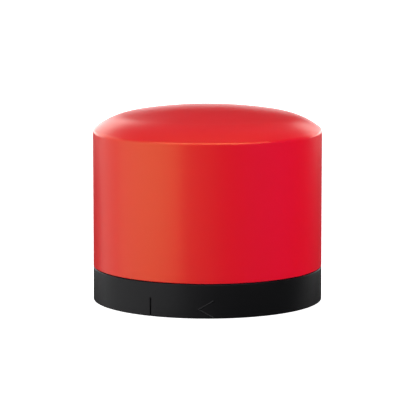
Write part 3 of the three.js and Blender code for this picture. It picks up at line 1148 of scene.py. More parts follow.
@dataclass
class Collar:
    """The black collar: socket below, spigot above, hooks and stops for the lens, and the turning marks."""

    bevel: float = 0.3
    socket_radius: float = 32.6
    web: Point = (7.8, 9.4)  # lowest and highest
    ledge: float = 10.3
    spigot_radius: float = 29.8
    spigot_wall: float = 2.0
    hook_outer: float = 31.4
    hook_roof: Point = (13.9, 15.7)  # lowest and highest
    root: float = 0.5  # how far hooks, lugs and bosses reach into what carries them
    lug_inner: float = 30.4
    lug_height: Point = (1.6, 3.4)  # lowest and highest
    lug_spread: float = 9.0  # degrees either side of a socket lug's middle
    turn: float = 20.0  # degrees from locked to free
    slack: float = 0.7  # degrees between a lug and its stop
    stop_width: float = 3.0  # degrees
    boss_radius: float = 2.6
    board_gap: float = 0.1
    low_boss_top: float = 10.8
    well_radius: float = 1.9
    well: Point = (6.0, 12.0)  # the cutter's ends
    pilot_radius: float = 1.05
    tall_pilot: Point = (8.3, 14.0)  # the cutter's ends, in the bosses for the board and the post
    low_pilot: Point = (6.0, 10.3)  # the same for the carrier
    line_bearing: float = -29.0  # degrees from the front
    line_height: float = 5.7
    line_width: float = 0.55
    line_depth: float = 0.45
    arrow_bearing: float = -0.7
    arrow_tip: float = 2.8  # height of the point
    arrow_rise: float = 2.5
    arrow_run: float = 4.4
    arrow_side: float = 0.42  # side of the square bar
    arrow_proud: float = 0.22  # how far its edge stands out
    seal_inner: float = 28.8
    seal_ease: float = 0.25
    steps: int = 240

    def body(self) -> bpy.types.Object:
        """Makes the turned body.

        Returns:
            The body, before its hooks, lugs, bosses and holes.
        """
        outer = Place.of("base_collar").radius
        top = Place.of("base_collar").top
        inner = self.spigot_radius - self.spigot_wall
        low, high = self.web
        corners = [
            (0.0, low),
            (self.socket_radius, low),
            (self.socket_radius, 0.0),
            (outer, 0.0),
            (outer, self.ledge),
            (self.spigot_radius, self.ledge),
            (self.spigot_radius, top),
            (inner, top),
            (inner, high),
            (0.0, high),
        ]
        return spun("collar_moulding", eased(corners, self.bevel), steps=self.steps)

    def arc_block(self, radii: Point, heights: Point, span: Point, ease: float = 0.15) -> bpy.types.Object:
        """Makes part of a ring with rounded edges.

        Args:
            radii: Its inner and outer radius.
            heights: Its lowest and highest height.
            span: The angles that it runs between.
            ease: How round its edges are.

        Returns:
            The block.
        """
        steps = max(2, math.ceil((span[1] - span[0]) / 1.5))
        return soften(spun("arc_block", oblong(*radii, *heights), ring=True, steps=steps, span=span), ease)

    def hook(self, release: float) -> list[bpy.types.Object]:
        """Makes one hook: a roof over the locked lug, and a stop at each end of its turn.

        Args:
            release: The angle of the lug when the lens can be lifted.

        Returns:
            The roof and the two stops.
        """
        radii = (self.spigot_radius - self.root, self.hook_outer)
        low, high = self.hook_roof
        half = Lens.lug_half + self.slack
        locked, free = release - self.turn - half, release + half
        stop = (self.ledge - self.root, high)
        return [
            self.arc_block(radii, (low, high - 0.02), (locked - 1, release - half)),
            self.arc_block(radii, stop, (locked - self.stop_width, locked)),
            self.arc_block(radii, stop, (free, free + self.stop_width)),
        ]

    def socket_lug(self, angle: float) -> bpy.types.Object:
        """Makes one lug in the lower mouth.

        Args:
            angle: Where it stands.

        Returns:
            The lug.
        """
        radii = (self.lug_inner, self.socket_radius + self.root)
        return self.arc_block(radii, self.lug_height, (angle - self.lug_spread, angle + self.lug_spread))

    def line_cutter(self) -> bpy.types.Object:
        """Makes the cutter for the upright turning mark, which runs out through the foot.

        Returns:
            The cutter.
        """
        reach = 4.0
        below = 2.0
        middle_y = self.line_depth - Place.of("base_collar").radius - reach / 2
        size = (self.line_width, reach, self.line_height + below)
        cutter = block("line_mark", size, (0, middle_y, (self.line_height - below) / 2))
        return moved(cutter, turn=(0, 0, self.line_bearing))

    def arrow_arm(self, side: int) -> bpy.types.Object:
        """Makes one arm of the raised arrow: a square bar on its edge.

        Args:
            side: 1 for the upper arm, -1 for the lower one.

        Returns:
            The arm.
        """
        length = math.hypot(self.arrow_run, self.arrow_rise)
        slope = math.degrees(math.atan2(self.arrow_rise, self.arrow_run))
        face = -Place.of("base_collar").radius - self.arrow_proud
        bar = block("arrow_arm", (length, self.arrow_side, self.arrow_side), (length / 2, 0, 0))
        moved(bar, turn=(45, 0, 0))
        moved(bar, turn=(0, -side * slope, 0))
        moved(bar, (-self.arrow_run / 2, face + self.arrow_side * math.sqrt(0.5), self.arrow_tip))
        return moved(bar, turn=(0, 0, self.arrow_bearing))

    def tall_spots(self) -> list[Point]:
        """Where the board and post screws go."""
        return middles("board_screw", 3) + middles("post_screw", 2)

    def low_spots(self) -> list[Point]:
        """Where the carrier screws go."""
        return middles("carrier_screw", 3)

    def bosses(self) -> list[bpy.types.Object]:
        """Makes the screw bosses on the web.

        Returns:
            The bosses.
        """
        board = Place.of("main_board").bottom - self.board_gap
        low = self.web[1] - self.root
        tall = [rod("boss", self.boss_radius, low, board, spot, 32) for spot in self.tall_spots()]
        short = [rod("boss", self.boss_radius, low, self.low_boss_top, spot, 32) for spot in self.low_spots()]
        return [*tall, *short]

    def holes(self) -> list[bpy.types.Object]:
        """Makes the cutters for the contact wells and the screw holes.

        Returns:
            The cutters.
        """
        contacts = middles("contact_plunger", Contacts.count)
        wells = [rod("well", self.well_radius, *self.well, spot, 32) for spot in contacts]
        tall = [rod("pilot", self.pilot_radius, *self.tall_pilot, spot) for spot in self.tall_spots()]
        short = [rod("pilot", self.pilot_radius, *self.low_pilot, spot) for spot in self.low_spots()]
        return [*wells, *tall, *short]

    def build(self, register: Register) -> None:
        """Makes, dresses and places the collar and the seal under its web.

        Args:
            register: The frame's nodes.
        """
        body = self.body()
        fused = [piece for angle in Lens.lug_angles for piece in self.hook(angle)]
        fused += [self.socket_lug(angle) for angle in Lens.lug_angles]
        fused += [self.arrow_arm(side) for side in (1, -1)]
        fused += self.bosses()
        for solid in fused:
            combined(body, [solid], Join.FUSE)
        combined(body, [self.line_cutter(), *self.holes()], Join.CUT)
        register.instead(dressed(mend(body), BLACK_BODY.material()), "base_collar")
        seal = ring_seal("tower_gasket", "tower_seal", self.seal_inner, self.seal_ease)
        register.instead(dressed(seal, BLACK_RUBBER.material(), 60), "tower_seal")


# ------------------------------------------------------------------ fastenings and contacts


@dataclass(frozen=True)
class Screw:
    """A zinc-plated pan-head screw with a cross recess and a cut thread."""

    head_radius: float
    head_height: float
    thread_radius: float
    root_share: float = 0.8  # the thread's root over its outer radius
    pitch: float = 0.5

    def model(self, name: str, length: float) -> bpy.types.Object:
        """Makes the screw with its seat at zero and its head up.

        Args:
            name: The piece's name.
            length: The shank's length under the head.

        Returns:
            The screw.
        """
        root = self.thread_radius * self.root_share
        rim, height = self.head_radius, self.head_height
        point = root * 0.9
        outline = [
            (0.0, -length),
            (root * 0.35, -length),
            (root, -length + point),
            (root, -0.1),
            (root + 0.12, 0.0),
            (rim - 0.08, 0.0),
            (rim, 0.08),
            (rim, height * 0.45),
            (rim * 0.93, height * 0.7),
            (rim * 0.72, height * 0.9),
            (rim * 0.4, height * 0.985),
            (0.0, height),
        ]
        body = spun(name, outline, steps=40)
        long, wide = rim * 1.15, rim * 0.26
        for size in ((long, wide, height), (wide, long, height)):
            combined(body, [block("recess", size, (0, 0, height))], Join.CUT)
        turns = max(2, int((length - root - 0.5) / self.pitch))
        half = self.pitch * 0.36
        foot, crest = root - 0.06, self.thread_radius
        tooth = [(foot, -half), (crest, -0.03), (crest, 0.03), (foot, half)]
        thread = helix("thread", tooth, self.pitch, turns, -length + point + half, 20)
        return joined(name, [body, thread])


class Facing(Enum):
    """Which way a screw's head points, as its turn about X in degrees."""

    UP = 0.0
    DOWN = 180.0


@dataclass
class Screws:
    """All the screws of the module."""

    wide: Screw = Screw(1.9, 1.1, 0.9)
    small: Screw = Screw(1.7, 1.0, 0.85)
    first_turn: float = 25.0  # degrees that the first cross is turned by
    next_turn: float = 40.0  # degrees from each cross to the next

    def place(self, screw: Screw, nodes: Sequence[str], facing: Facing, register: Register) -> None:
        """Makes one screw and puts a copy at each node.

        Args:
            screw: Which screw it is.
            nodes: The nodes that the copies stand for.
            facing: Which way the heads point.
            register: The frame's nodes.
        """
        length = Place.of(nodes[0]).size.z - screw.head_height
        first = dressed(screw.model("screw", length), ZINC.material(), 35)
        for count, node in enumerate(nodes):
            place = Place.of(node)
            head_up = facing is Facing.UP
            seat = place.top - screw.head_height if head_up else place.bottom + screw.head_height
            turn = (facing.value, 0, self.first_turn + self.next_turn * count)
            register.instead(copied(first, f"{node}_threaded", (*middle(node), seat), turn), node)
        bpy.data.objects.remove(first)

    def build(self, register: Register) -> None:
        """Makes and places every screw.

        Args:
            register: The frame's nodes.
        """
        self.place(self.wide, numbered("board_screw", 3), Facing.UP, register)
        self.place(self.wide, numbered("carrier_screw", 3), Facing.DOWN, register)
        self.place(self.small, numbered("post_screw", 2), Facing.UP, register)
        self.place(self.small, ["top_screw"], Facing.UP, register)


@dataclass
class Contacts:
    """The grey carrier under the web, with its six sprung plungers."""

    count: int = 6
    groove: Point = (8.6, 9.6)  # inner and outer radius
    groove_depth: float = 0.5
    chamfer: float = 0.6
    ease: float = 0.12
    hole: float = 1.25
    countersink: float = 1.9
    key_hole: float = 2.2
    key_notch: Point = (2.2, 4.0)  # width and length
    recess: float = 2.2  # radius round each screw head
    recess_depth: float = 1.4
    clearance: float = 1.2
    shaft: float = 1.0
    shaft_length: float = 3.45
    tip: float = 1.05  # radius of the rounded contact
    tip_height: float = 0.65  # where the shaft begins
    flange: float = 1.55
    flange_height: float = 0.6
    stem: float = 0.55
    plunger_ease: float = 0.14
    coil: float = 1.05  # radius of the spring's wire line
    wire: float = 0.17
    turns: int = 3
    stroke: float = 1.2

    def carrier(self) -> bpy.types.Object:
        """Makes the carrier disc with its holes, countersinks and groove.

        Returns:
            The carrier.
        """
        place = Place.of("contact_carrier")
        low, high, rim = place.bottom, place.top, place.radius
        inner, outer = self.groove
        corners = [
            (0, low),
            (inner, low),
            (inner, low + self.groove_depth),
            (outer, low + self.groove_depth),
            (outer, low),
            (rim - self.chamfer, low),
            (rim, low + self.chamfer),
            (rim, high),
            (0, high),
        ]
        disc = spun("carrier_moulding", eased(corners, self.ease), steps=144)
        contacts = middles("contact_plunger", self.count)
        screws = middles("carrier_screw", 3)
        through = (low - 1, high + 1)
        holes = [rod("hole", self.hole, *through, spot, 36) for spot in contacts]
        holes += [rod("hole", self.clearance, *through, spot, 32) for spot in screws]
        holes.append(rod("hole", self.key_hole, *through, sides=48))
        holes.append(block("notch", (*self.key_notch, 6), (0, rim, low)))
        combined(disc, holes, Join.CUT)
        for spot in contacts:
            combined(disc, [moved(self.cone(low), (*spot, 0))], Join.CUT)
        wells = [rod("well", self.recess, low - 1, low + self.recess_depth, spot, 40) for spot in screws]
        combined(disc, wells, Join.CUT)
        return mend(disc)

    def cone(self, low: float) -> bpy.types.Object:
        """Makes the cutter for a countersink, which runs on past the hole's edge.

        Args:
            low: The carrier's lower face.

        Returns:
            The cutter, on the origin's axis.
        """
        wide = self.countersink + 0.3
        outline = [(0, low - 0.3), (wide, low - 0.3), (wide - 1.7, low + 1.3), (0, low + 1.3)]
        return spun("cone", outline, steps=40)

    def plunger(self) -> bpy.types.Object:
        """Makes one plunger on the origin's axis.

        Returns:
            The plunger.
        """
        place = Place.of("contact_plunger_1")
        low, high = place.bottom, place.top
        seat = low + self.shaft_length
        corners = [
            (self.shaft * 0.62, low),
            (self.shaft, low + 0.6),
            (self.shaft, seat),
            (self.flange, seat),
            (self.flange, seat + self.flange_height),
            (self.stem, seat + self.flange_height),
            (self.stem, high),
            (0.0, high),
        ]
        upper = [point for point in eased(corners, self.plunger_ease) if point[1] > low + self.tip_height]
        tip = arc((0, low + self.tip), self.tip, -90, -25, 8)
        return spun("plunger", [*tip, *upper], steps=40)

    def spring(self) -> bpy.types.Object:
        """Makes one coil spring on the origin's axis.

        Returns:
            The spring.
        """
        place = Place.of("contact_spring_1")
        rise = place.size.z - 2 * self.wire
        section = [(self.coil + r, z) for r, z in arc((0, 0), self.wire, 0, 315, 7)]
        return helix("spring", section, rise / self.turns, self.turns, place.bottom + self.wire, 28)

    def build(self, register: Register) -> None:
        """Makes, dresses and places the carrier, the plungers and the springs.

        Args:
            register: The frame's nodes.
        """
        register.instead(dressed(self.carrier(), GREY_BODY.material()), "contact_carrier")
        plunger = dressed(self.plunger(), GOLD.material(), 40)
        spring = dressed(self.spring(), SPRING_WIRE.material(), 60)
        keep = 1 - self.stroke / Place.of("contact_spring_1").size.z
        for i in range(1, self.count + 1):
            x, y = middle(f"contact_plunger_{i}")
            register.instead(copied(plunger, f"plunger_pin_{i}", (x, y, 0)), f"contact_plunger_{i}")
            coil = copied(spring, f"plunger_coil_{i}", (x, y, 0), (0, 0, 60 * i))
            register.instead(coil, f"contact_spring_{i}")
            anchor = (x * MM, y * MM, Place.of(f"contact_spring_{i}").top * MM)
            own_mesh(coil)
        bpy.data.objects.remove(plunger)
        bpy.data.objects.remove(spring)


# ------------------------------------------------------------------ boards and LEDs


@dataclass
class MainBoard:
    """The round board that carries the electronics, with its tracks, pads and printed outlines."""

    ease: float = 0.08
    notch: float = 3.0
    hole: float = 1.2
    track: float = 0.55  # width
    copper: float = 0.05  # how far a track stands out
    screw_pad: Point = (1.3, 2.3)  # inner and outer radius
    contact_pad: float = 1.6
    ink_width: float = 0.2
    ink_gap: float = 0.5
    rings: Sequence[tuple[float, float, float]] = (  # radius, then the angles that each runs between
        (24.6, 100, 160),
        (24.6, 200, 255),
        (24.6, 285, 322),
        (24.6, 20, 80),
        (22.9, 108, 150),
        (14.6, 20, 70),
        (14.6, 110, 165),
        (14.6, 195, 250),
        (14.6, 290, 345),
        (15.8, 205, 245),
    )
    spokes: Sequence[tuple[float, float, float]] = (  # inner and outer radius, then the angle
        (14.6, 22.9, 110),
        (14.6, 24.6, 160),
        (14.6, 24.6, 205),
        (15.8, 24.6, 245),
        (14.6, 24.6, 290),
        (14.6, 24.6, 320),
        (14.6, 24.6, 25),
        (14.6, 24.6, 70),
    )

    def disc(self) -> bpy.types.Object:
        """Makes the bare board with its holes and notch.

        Returns:
            The board.
        """
        place = Place.of("main_board")
        low, high, rim = place.bottom, place.top, place.high.x
        board = spun("main_board_laminate", eased(oblong(0, rim, low, high), self.ease), steps=144)
        spots = middles("board_screw", 3) + middles("post_screw", 2)
        holes = [rod("hole", self.hole, low - 1, high + 1, spot, 32) for spot in spots]
        holes.append(block("notch", (self.notch, self.notch, 6), (-rim, 0, low)))
        return mend(combined(board, holes, Join.CUT))

    def tracks(self) -> bpy.types.Object:
        """Makes the copper tracks, which stand a little proud under the green mask.

        Returns:
            The tracks.
        """
        face = Place.of("main_board").top
        low, high, half = face - 0.02, face + self.copper, self.track / 2
        pieces = []
        for radius, start, end in self.rings:
            section = oblong(radius - half, radius + half, low, high)
            pieces.append(spun("track", section, ring=True, steps=24, span=(start, end)))
        for inner, outer, angle in self.spokes:
            size = (outer - inner, self.track, high - low)
            strip = block("track", size, ((inner + outer) / 2, 0, (low + high) / 2))
            pieces.append(moved(strip, turn=(0, 0, angle)))
        return joined("board_tracks", pieces)

    def pads(self) -> bpy.types.Object:
        """Makes the plated rings round the screws and the pads that the springs press on.

        Returns:
            The pads.
        """
        place = Place.of("main_board")
        ring = spun("pad", oblong(*self.screw_pad, -0.02, 0.04), ring=True, steps=40)
        tops = [copied(ring, "pad", (*spot, place.top)) for spot in middles("board_screw", 3)]
        disc = spun("pad", oblong(0, self.contact_pad, -0.03, 0.02), steps=40)
        springs = middles("contact_spring", Contacts.count)
        unders = [copied(disc, "pad", (*spot, place.bottom)) for spot in springs]
        bpy.data.objects.remove(ring)
        bpy.data.objects.remove(disc)
        return joined("board_pads", [*tops, *unders])

    def ink(self) -> bpy.types.Object:
        """Makes the printed outlines round the components.

        Returns:
            The outlines.
        """
        face = Place.of("main_board").top
        line = self.ink_width
        pieces = []
        for node in ("smoothing_capacitor", "choke"):
            radius = Place.of(node).radius + self.ink_gap
            ring = spun("outline", oblong(radius, radius + line, 0, 0.02), ring=True, steps=64)
            pieces.append(moved(ring, (*middle(node), face)))
        for node in ("bridge_rectifier", "driver_chip", "mode_switch_body"):
            size = Place.of(node).size
            wide, deep = size.x / 2 + self.ink_gap, size.y / 2 + self.ink_gap
            x, y = middle(node)
            for side in (-1, 1):
                pieces.append(block("outline", (2 * wide, line, 0.03), (x, y + side * deep, face + 0.01)))
                pieces.append(block("outline", (line, 2 * deep, 0.03), (x + side * wide, y, face + 0.01)))
        return joined("board_ink", pieces)

    def build(self, register: Register) -> None:
        """Makes, dresses and places the board.

        Args:
            register: The frame's nodes.
        """
        layers = [
            dressed(self.disc(), GREEN_MASK.material()),
            dressed(self.tracks(), TRACK_MASK.material()),
            dressed(self.pads(), GOLD.material()),
            dressed(self.ink(), WHITE_INK.material()),
        ]
        register.instead(joined("main_board_made_up", layers), "main_board")


@dataclass
class LedCore:
    """The white post with a strip of LEDs on each side and three on top."""

    post_half: float = 5.5
    rail: Point = (5.4, 8.0)  # the rails' near and far faces
    foot_height: float = 1.4
    gusset: Point = (10.2, 12.2)  # inner and outer radius
    gusset_height: float = 5.0
    gusset_half: float = 3.0  # degrees
    screw_hole: float = 1.1
    pilot: float = 0.95
    pilot_depth: float = 8.0
    rows: int = 3
    sides: int = 4
    board_ease: float = 0.08
    track_side: float = 3.4  # how far the long tracks are from the strip's middle
    pad_side: float = 1.35  # how far a pad is from the LED's middle
    led_side: float = 3.2
    dome_radius: float = 1.36
    top_track: Point = (8.9, 9.6)  # inner and outer radius
    top_starts: Sequence[float] = (-50, 70, 190)  # degrees
    top_span: float = 80.0  # degrees

    def post(self) -> bpy.types.Object:
        """Makes the post with its foot, corner rails and gussets.

        Returns:
            The post.
        """
        place = Place.of("led_post")
        low, high = place.bottom, place.top
        foot_top = low + self.foot_height
        near, far = self.rail
        middle_of_rail = (near + far) / 2
        foot = spun("post_moulding", eased(oblong(0, place.radius, low, foot_top), 0.25), steps=96)
        shaft = (2 * self.post_half, 2 * self.post_half, high - low - 0.5)
        solids = [block("post", shaft, (0, 0, (low + 0.5 + high) / 2), 0.1)]
        for x, y in ((1, 1), (1, -1), (-1, 1), (-1, -1)):
            size = (far - near, far - near, high - foot_top + 0.5)
            spot = (x * middle_of_rail, y * middle_of_rail, (foot_top - 0.5 + high) / 2)
            solids.append(block("rail", size, spot, 0.3))
        inner, outer = self.gusset
        for angle in (45, 135, 225, 315):
            wedge = [(inner, foot_top - 0.4), (outer, foot_top - 0.4), (inner, foot_top + self.gusset_height)]
            span = (angle - self.gusset_half, angle + self.gusset_half)
            solids.append(spun("gusset", wedge, ring=True, steps=2, span=span))
        for solid in solids:
            combined(foot, [solid], Join.FUSE)
        screws = middles("post_screw", 2)
        holes = [rod("hole", self.screw_hole, low - 1, foot_top + 1, spot, 32) for spot in screws]
        holes.append(rod("hole", self.pilot, high - self.pilot_depth, high + 1, sides=32))
        return mend(combined(foot, holes, Join.CUT))

    def strip(self) -> bpy.types.Object:
        """Makes the front strip board with its tracks and solder joints.

        Returns:
            The strip.
        """
        place = Place.of("led_board_1")
        board = dressed(block("strip", place.size, place.centre, self.board_ease), WHITE_MASK.material())
        face = place.low.y
        tracks = []
        for side in (-1, 1):
            spot = (side * self.track_side, face - 0.01, place.centre.z)
            tracks.append(block("track", (0.9, 0.06, place.size.z - 3), spot))
        pads = []
        for row in range(1, self.rows + 1):
            z = Place.of(f"led_1_{row}").centre.z
            for side in (-1, 1):
                tracks.append(block("track", (2.0, 0.06, 0.6), (side * 2.4, face - 0.01, z)))
                pads.append(block("pad", (0.9, 0.09, 2.6), (side * self.pad_side, face - 0.04, z), 0.02))
        fillet = [(0, -0.1), (0.75, -0.1), (0.7, 0.1), (0.42, 0.32), (0.2, 0.55), (0, 0.6)]
        for side in (-1, 1):
            spot = (side * self.track_side, face, place.bottom + 1.3)
            pads.append(moved(spun("joint", fillet, steps=24), spot, (90, 0, 0)))
        copper = dressed(joined("tracks", tracks), WHITE_TRACK.material())
        tin = dressed(joined("pads", pads), SOLDER.material())
        return joined("strip", [board, copper, tin])

    def led(self) -> bpy.types.Object:
        """Makes one LED on the origin, facing up: frame, phosphor, clear dome and terminals.

        Returns:
            The LED.
        """
        frame = block("frame", (self.led_side, self.led_side, 0.72), (0, 0, 0.44), 0.08)
        cup = spun("cup", [(0, 0.45), (1.0, 0.45), (1.42, 1.0), (0, 1.0)], steps=40)
        combined(frame, [cup], Join.CUT)
        combined(frame, [block("corner", (1, 1, 1), (1.75, 1.75, 1.1))], Join.CUT)
        gel = spun("gel", [(0, 0.46), (1.0, 0.46), (1.18, 0.68), (1.1, 0.72), (0, 0.74)], steps=40)
        radius = self.dome_radius
        rise = [(r * radius, 0.8 + z * 0.95) for r, z in arc((0, 0), 1.0, 0, 90, 10)]
        dome = spun("dome", [(0, 0.76), (radius, 0.76), *rise[:-1], (0, 1.75)], steps=40)
        terminals = [block("terminal", (0.5, 2.4, 0.22), (side * 1.38, 0, 0.11), 0.03) for side in (-1, 1)]
        parts = [
            dressed(frame, LED_FRAME.material()),
            dressed(gel, PHOSPHOR.material()),
            dressed(dome, CLEAR_GEL.material()),
            dressed(joined("terminals", terminals), SOLDER.material()),
        ]
        return joined("led", parts)

    def top(self) -> bpy.types.Object:
        """Makes the round top board with its tracks and pads.

        Returns:
            The board.
        """
        place = Place.of("top_board")
        low, high, rim = place.bottom, place.top, place.radius
        disc = spun("top_disc", eased(oblong(0, rim, low, high), self.board_ease), steps=96)
        combined(disc, [rod("hole", 1.05, low - 1, high + 1, sides=32)], Join.CUT)
        tracks = []
        for start in self.top_starts:
            ring = oblong(*self.top_track, high - 0.02, high + 0.05)
            tracks.append(spun("track", ring, ring=True, steps=20, span=(start, start + self.top_span)))
            branch = block("track", (2.4, 0.6, 0.07), (8.1, 0, high + 0.01))
            tracks.append(moved(branch, turn=(0, 0, start + 4)))
        pads = []
        for x, y in middles("top_led", 3):
            for side in (-1, 1):
                pads.append(block("pad", (0.9, 2.6, 0.09), (x + side * self.pad_side, y, high + 0.04), 0.02))
        layers = [
            dressed(disc, WHITE_MASK.material()),
            dressed(joined("tracks", tracks), WHITE_TRACK.material()),
            dressed(joined("pads", pads), SOLDER.material()),
        ]
        return joined("top_board_made_up", layers)

    def build(self, register: Register) -> None:
        """Makes, dresses and places the core.

        Args:
            register: The frame's nodes.
        """
        register.instead(dressed(self.post(), WHITE_BODY.material()), "led_post")
        strip, led = self.strip(), self.led()
        seat = -Place.of("led_1_1").high.y
        for side in range(self.sides):
            turn = 90 * side
            board = f"led_board_{side + 1}"
            register.instead(copied(strip, f"{board}_made_up", turn=(0, 0, turn)), board)
            for row in range(1, self.rows + 1):
                node = f"led_{side + 1}_{row}"
                spot = (*around(seat, turn - 90), Place.of(node).centre.z)
                register.instead(copied(led, f"{node}_package", spot, (90, 0, turn)), node)
        register.instead(self.top(), "top_board")
        for node in numbered("top_led", 3):
            spot = (*middle(node), Place.of(node).bottom)
            register.instead(copied(led, f"{node}_package", spot), node)
        bpy.data.objects.remove(strip)
        bpy.data.objects.remove(led)


# ------------------------------------------------------------------ electronics


@dataclass(frozen=True)
class Leads:
    """Two rows of gull-wing leads, along the sides of a package that face front and back."""

    width: float
    along: Sequence[float]  # where they stand along X, from the package's middle
    sheet: float = 0.16
    foot: float = 0.5  # length
    ease: float = 0.03

    def model(self, centre: Point, reach: float, low: float, rise: float) -> bpy.types.Object:
        """Makes the leads.

        Args:
            centre: The package's middle in plan.
            reach: How far the feet reach from the middle.
            low: The height of the feet.
            rise: How high above the feet the leads leave the package.

        Returns:
            The leads.
        """
        leads = []
        for dx in self.along:
            x = centre[0] + dx
            for side in (-1, 1):
                y = centre[1] + side * (reach - self.foot / 2)
                flat = (self.width, self.foot, self.sheet)
                upright = (self.width, self.sheet, rise)
                leads.append(block("foot", flat, (x, y, low + self.sheet / 2), self.ease))
                leads.append(block("riser", upright, (x, y - side * 0.2, low + rise / 2), self.ease))
                leads.append(block("shoulder", flat, (x, y - side * 0.38, low + rise), self.ease))
        return joined("leads", leads)


@dataclass(frozen=True)
class Package:
    """A moulded package with its leads and a dimple at its first pin."""

    node: str
    name: str
    depth: float
    leads: Leads
    gap: float = 0.2  # under the moulding
    ease: float = 0.12
    dimple: float = 0.4
    dimple_inset: float = 0.9

    def model(self) -> bpy.types.Object:
        """Makes the package.

        Returns:
            The package.
        """
        place = Place.of(self.node)
        x, y = middle(self.node)
        low, high = place.bottom, place.top
        size = (place.size.x, self.depth, high - low - self.gap)
        body = block("moulding", size, (x, y, (low + self.gap + high) / 2), self.ease)
        corner = (x - place.size.x / 2 + self.dimple_inset, y - self.depth / 2 + self.dimple_inset)
        combined(body, [rod("dimple", self.dimple, high - 0.12, high + 1, corner, 24)], Join.CUT)
        leads = self.leads.model((x, y), place.size.y / 2, low, (high - low) * 0.45)
        return joined(self.name, [dressed(body, CHIP_EPOXY.material()), dressed(leads, SOLDER.material())])


@dataclass
class Electronics:
    """The components that stand on the main board."""

    lead: float = 0.3  # radius
    can_leads: float = 1.75  # how far a can's lead is from its axis
    score: Point = (4.4, 0.16)  # length and width of a score in the can's top
    wire: float = 0.175  # radius of the choke's wire
    wire_pitch: float = 0.38
    winding: float = 3.5  # radius of the outer layer's wire line
    spool: float = 2.5
    cheek: float = 1.0
    disc_leads: Point = (1.8, 0.35)  # how far a varistor's lead is from its middle, across and in depth
    switch_slot: Point = (1.4, 3.6)  # width and length
    slot_depth: float = 1.35
    packages: Sequence[Package] = (
        Package("bridge_rectifier", "bridge_made_up", 5.0, Leads(1.1, (-2.2, 2.2))),
        Package("driver_chip", "driver_made_up", 4.0, Leads(0.42, (-1.9, -0.63, 0.63, 1.9))),
    )

    def capacitor(self) -> bpy.types.Object:
        """Makes the electrolytic capacitor: a sleeved can with a crimp, and a scored bare top.

        Returns:
            The capacitor.
        """
        place = Place.of("smoothing_capacitor")
        low, high, rim = place.bottom, place.top, place.size.y / 2
        can = [
            (0.0, low + 0.1),
            (rim - 0.5, low + 0.1),
            (rim, low + 0.5),
            (rim, low + 1.2),
            (rim - 0.35, low + 1.55),
            (rim, low + 1.9),
            (rim, high - 0.35),
            (rim - 0.3, high - 0.02),
            (rim - 0.9, high),
            (rim - 1.0, high - 0.15),
            (0.0, high - 0.15),
        ]
        sleeve = spun("sleeve", eased(can, 0.18), steps=64)
        cap = [(0, high - 0.16), (rim - 0.95, high - 0.16), (rim - 1.0, high - 0.05), (0, high - 0.05)]
        lid = spun("lid", cap, steps=64)
        long, wide = self.score
        for size in ((long, wide, 0.2), (wide, long, 0.2)):
            combined(lid, [block("score", size, (0, 0, high - 0.02))], Join.CUT)
        foot = [
            rod("lead", self.lead, low - 0.05, low + 0.2, (side * self.can_leads, 0), 16) for side in (-1, 1)
        ]
        axis = middle("smoothing_capacitor")
        # PVC tube, shrunk on with heat: a dark glossy blue with faint waves and a pale stripe.
        shrunk = StripedSleeve("pvc_capacitor_sleeve", "20264a", "c9ccd6", axis)
        made_up = [
            dressed(moved(sleeve, (*axis, 0)), shrunk.material()),
            dressed(moved(lid, (*axis, 0)), CAN_TOP.material()),
            dressed(moved(joined("leads", foot), (*axis, 0)), SOLDER.material()),
        ]
        return joined("capacitor_made_up", made_up)

    def choke(self) -> bpy.types.Object:
        """Makes the choke: a ferrite bobbin wound with enamelled wire.

        Returns:
            The choke.
        """
        place = Place.of("choke")
        low, high, rim = place.bottom, place.top, place.size.y / 2
        spool, cheek = self.spool, self.cheek
        core = [
            (0.0, low),
            (rim, low),
            (rim, low + cheek),
            (spool, low + cheek),
            (spool, high - cheek),
            (rim, high - cheek),
            (rim, high),
            (0.0, high),
        ]
        bobbin = spun("bobbin", eased(core, 0.15), steps=64)
        section = [(self.winding + r, z) for r, z in arc((0, 0), self.wire, 0, 315, 7)]
        turns = int((high - low - 2.2) / self.wire_pitch)
        winding = helix("winding", section, self.wire_pitch, turns, low + 1.25, 48)
        inside = oblong(spool - 0.1, self.winding - 0.1, low + cheek + 0.05, high - cheek - 0.05)
        fill = spun("inner_layers", inside, ring=True, steps=48)
        axis = middle("choke")
        made_up = [
            dressed(moved(bobbin, (*axis, 0)), FERRITE.material()),
            dressed(moved(joined("winding", [winding, fill]), (*axis, 0)), COPPER.material(), 60),
        ]
        return joined("choke_made_up", made_up)

    def varistor(self) -> bpy.types.Object:
        """Makes the varistor: a dipped disc on two leads, each with a skirt of the dip.

        Returns:
            The varistor.
        """
        place = Place.of("surge_varistor")
        radius, half = place.radius, place.size.y / 2
        x, y = middle("surge_varistor")
        centre = place.top - radius
        outline = [
            (0.0, -half),
            (radius * 0.55, -half),
            (radius * 0.85, -half * 0.85),
            (radius, -half * 0.3),
            (radius, half * 0.3),
            (radius * 0.85, half * 0.85),
            (radius * 0.55, half),
            (0.0, half),
        ]
        dip = [moved(spun("disc", eased(outline, 0.5), steps=64), (x, y, centre), (90, 0, 0))]
        across, deep = self.disc_leads
        leads = []
        for side in (-1, 1):
            spot = (x + side * across, y + side * deep)
            leads.append(rod("lead", self.lead, place.bottom, centre - radius + 0.8, spot, 16))
            skirt = spun("skirt", [(0, 0), (0.42, 0), (0.62, 1.6), (0, 1.6)], steps=24)
            dip.append(moved(skirt, (*spot, centre - radius - 0.25)))
        blue = dressed(joined("dip", dip), BLUE_DIP.material(), 50)
        tin = dressed(joined("leads", leads), SOLDER.material())
        return joined("varistor_made_up", [blue, tin])

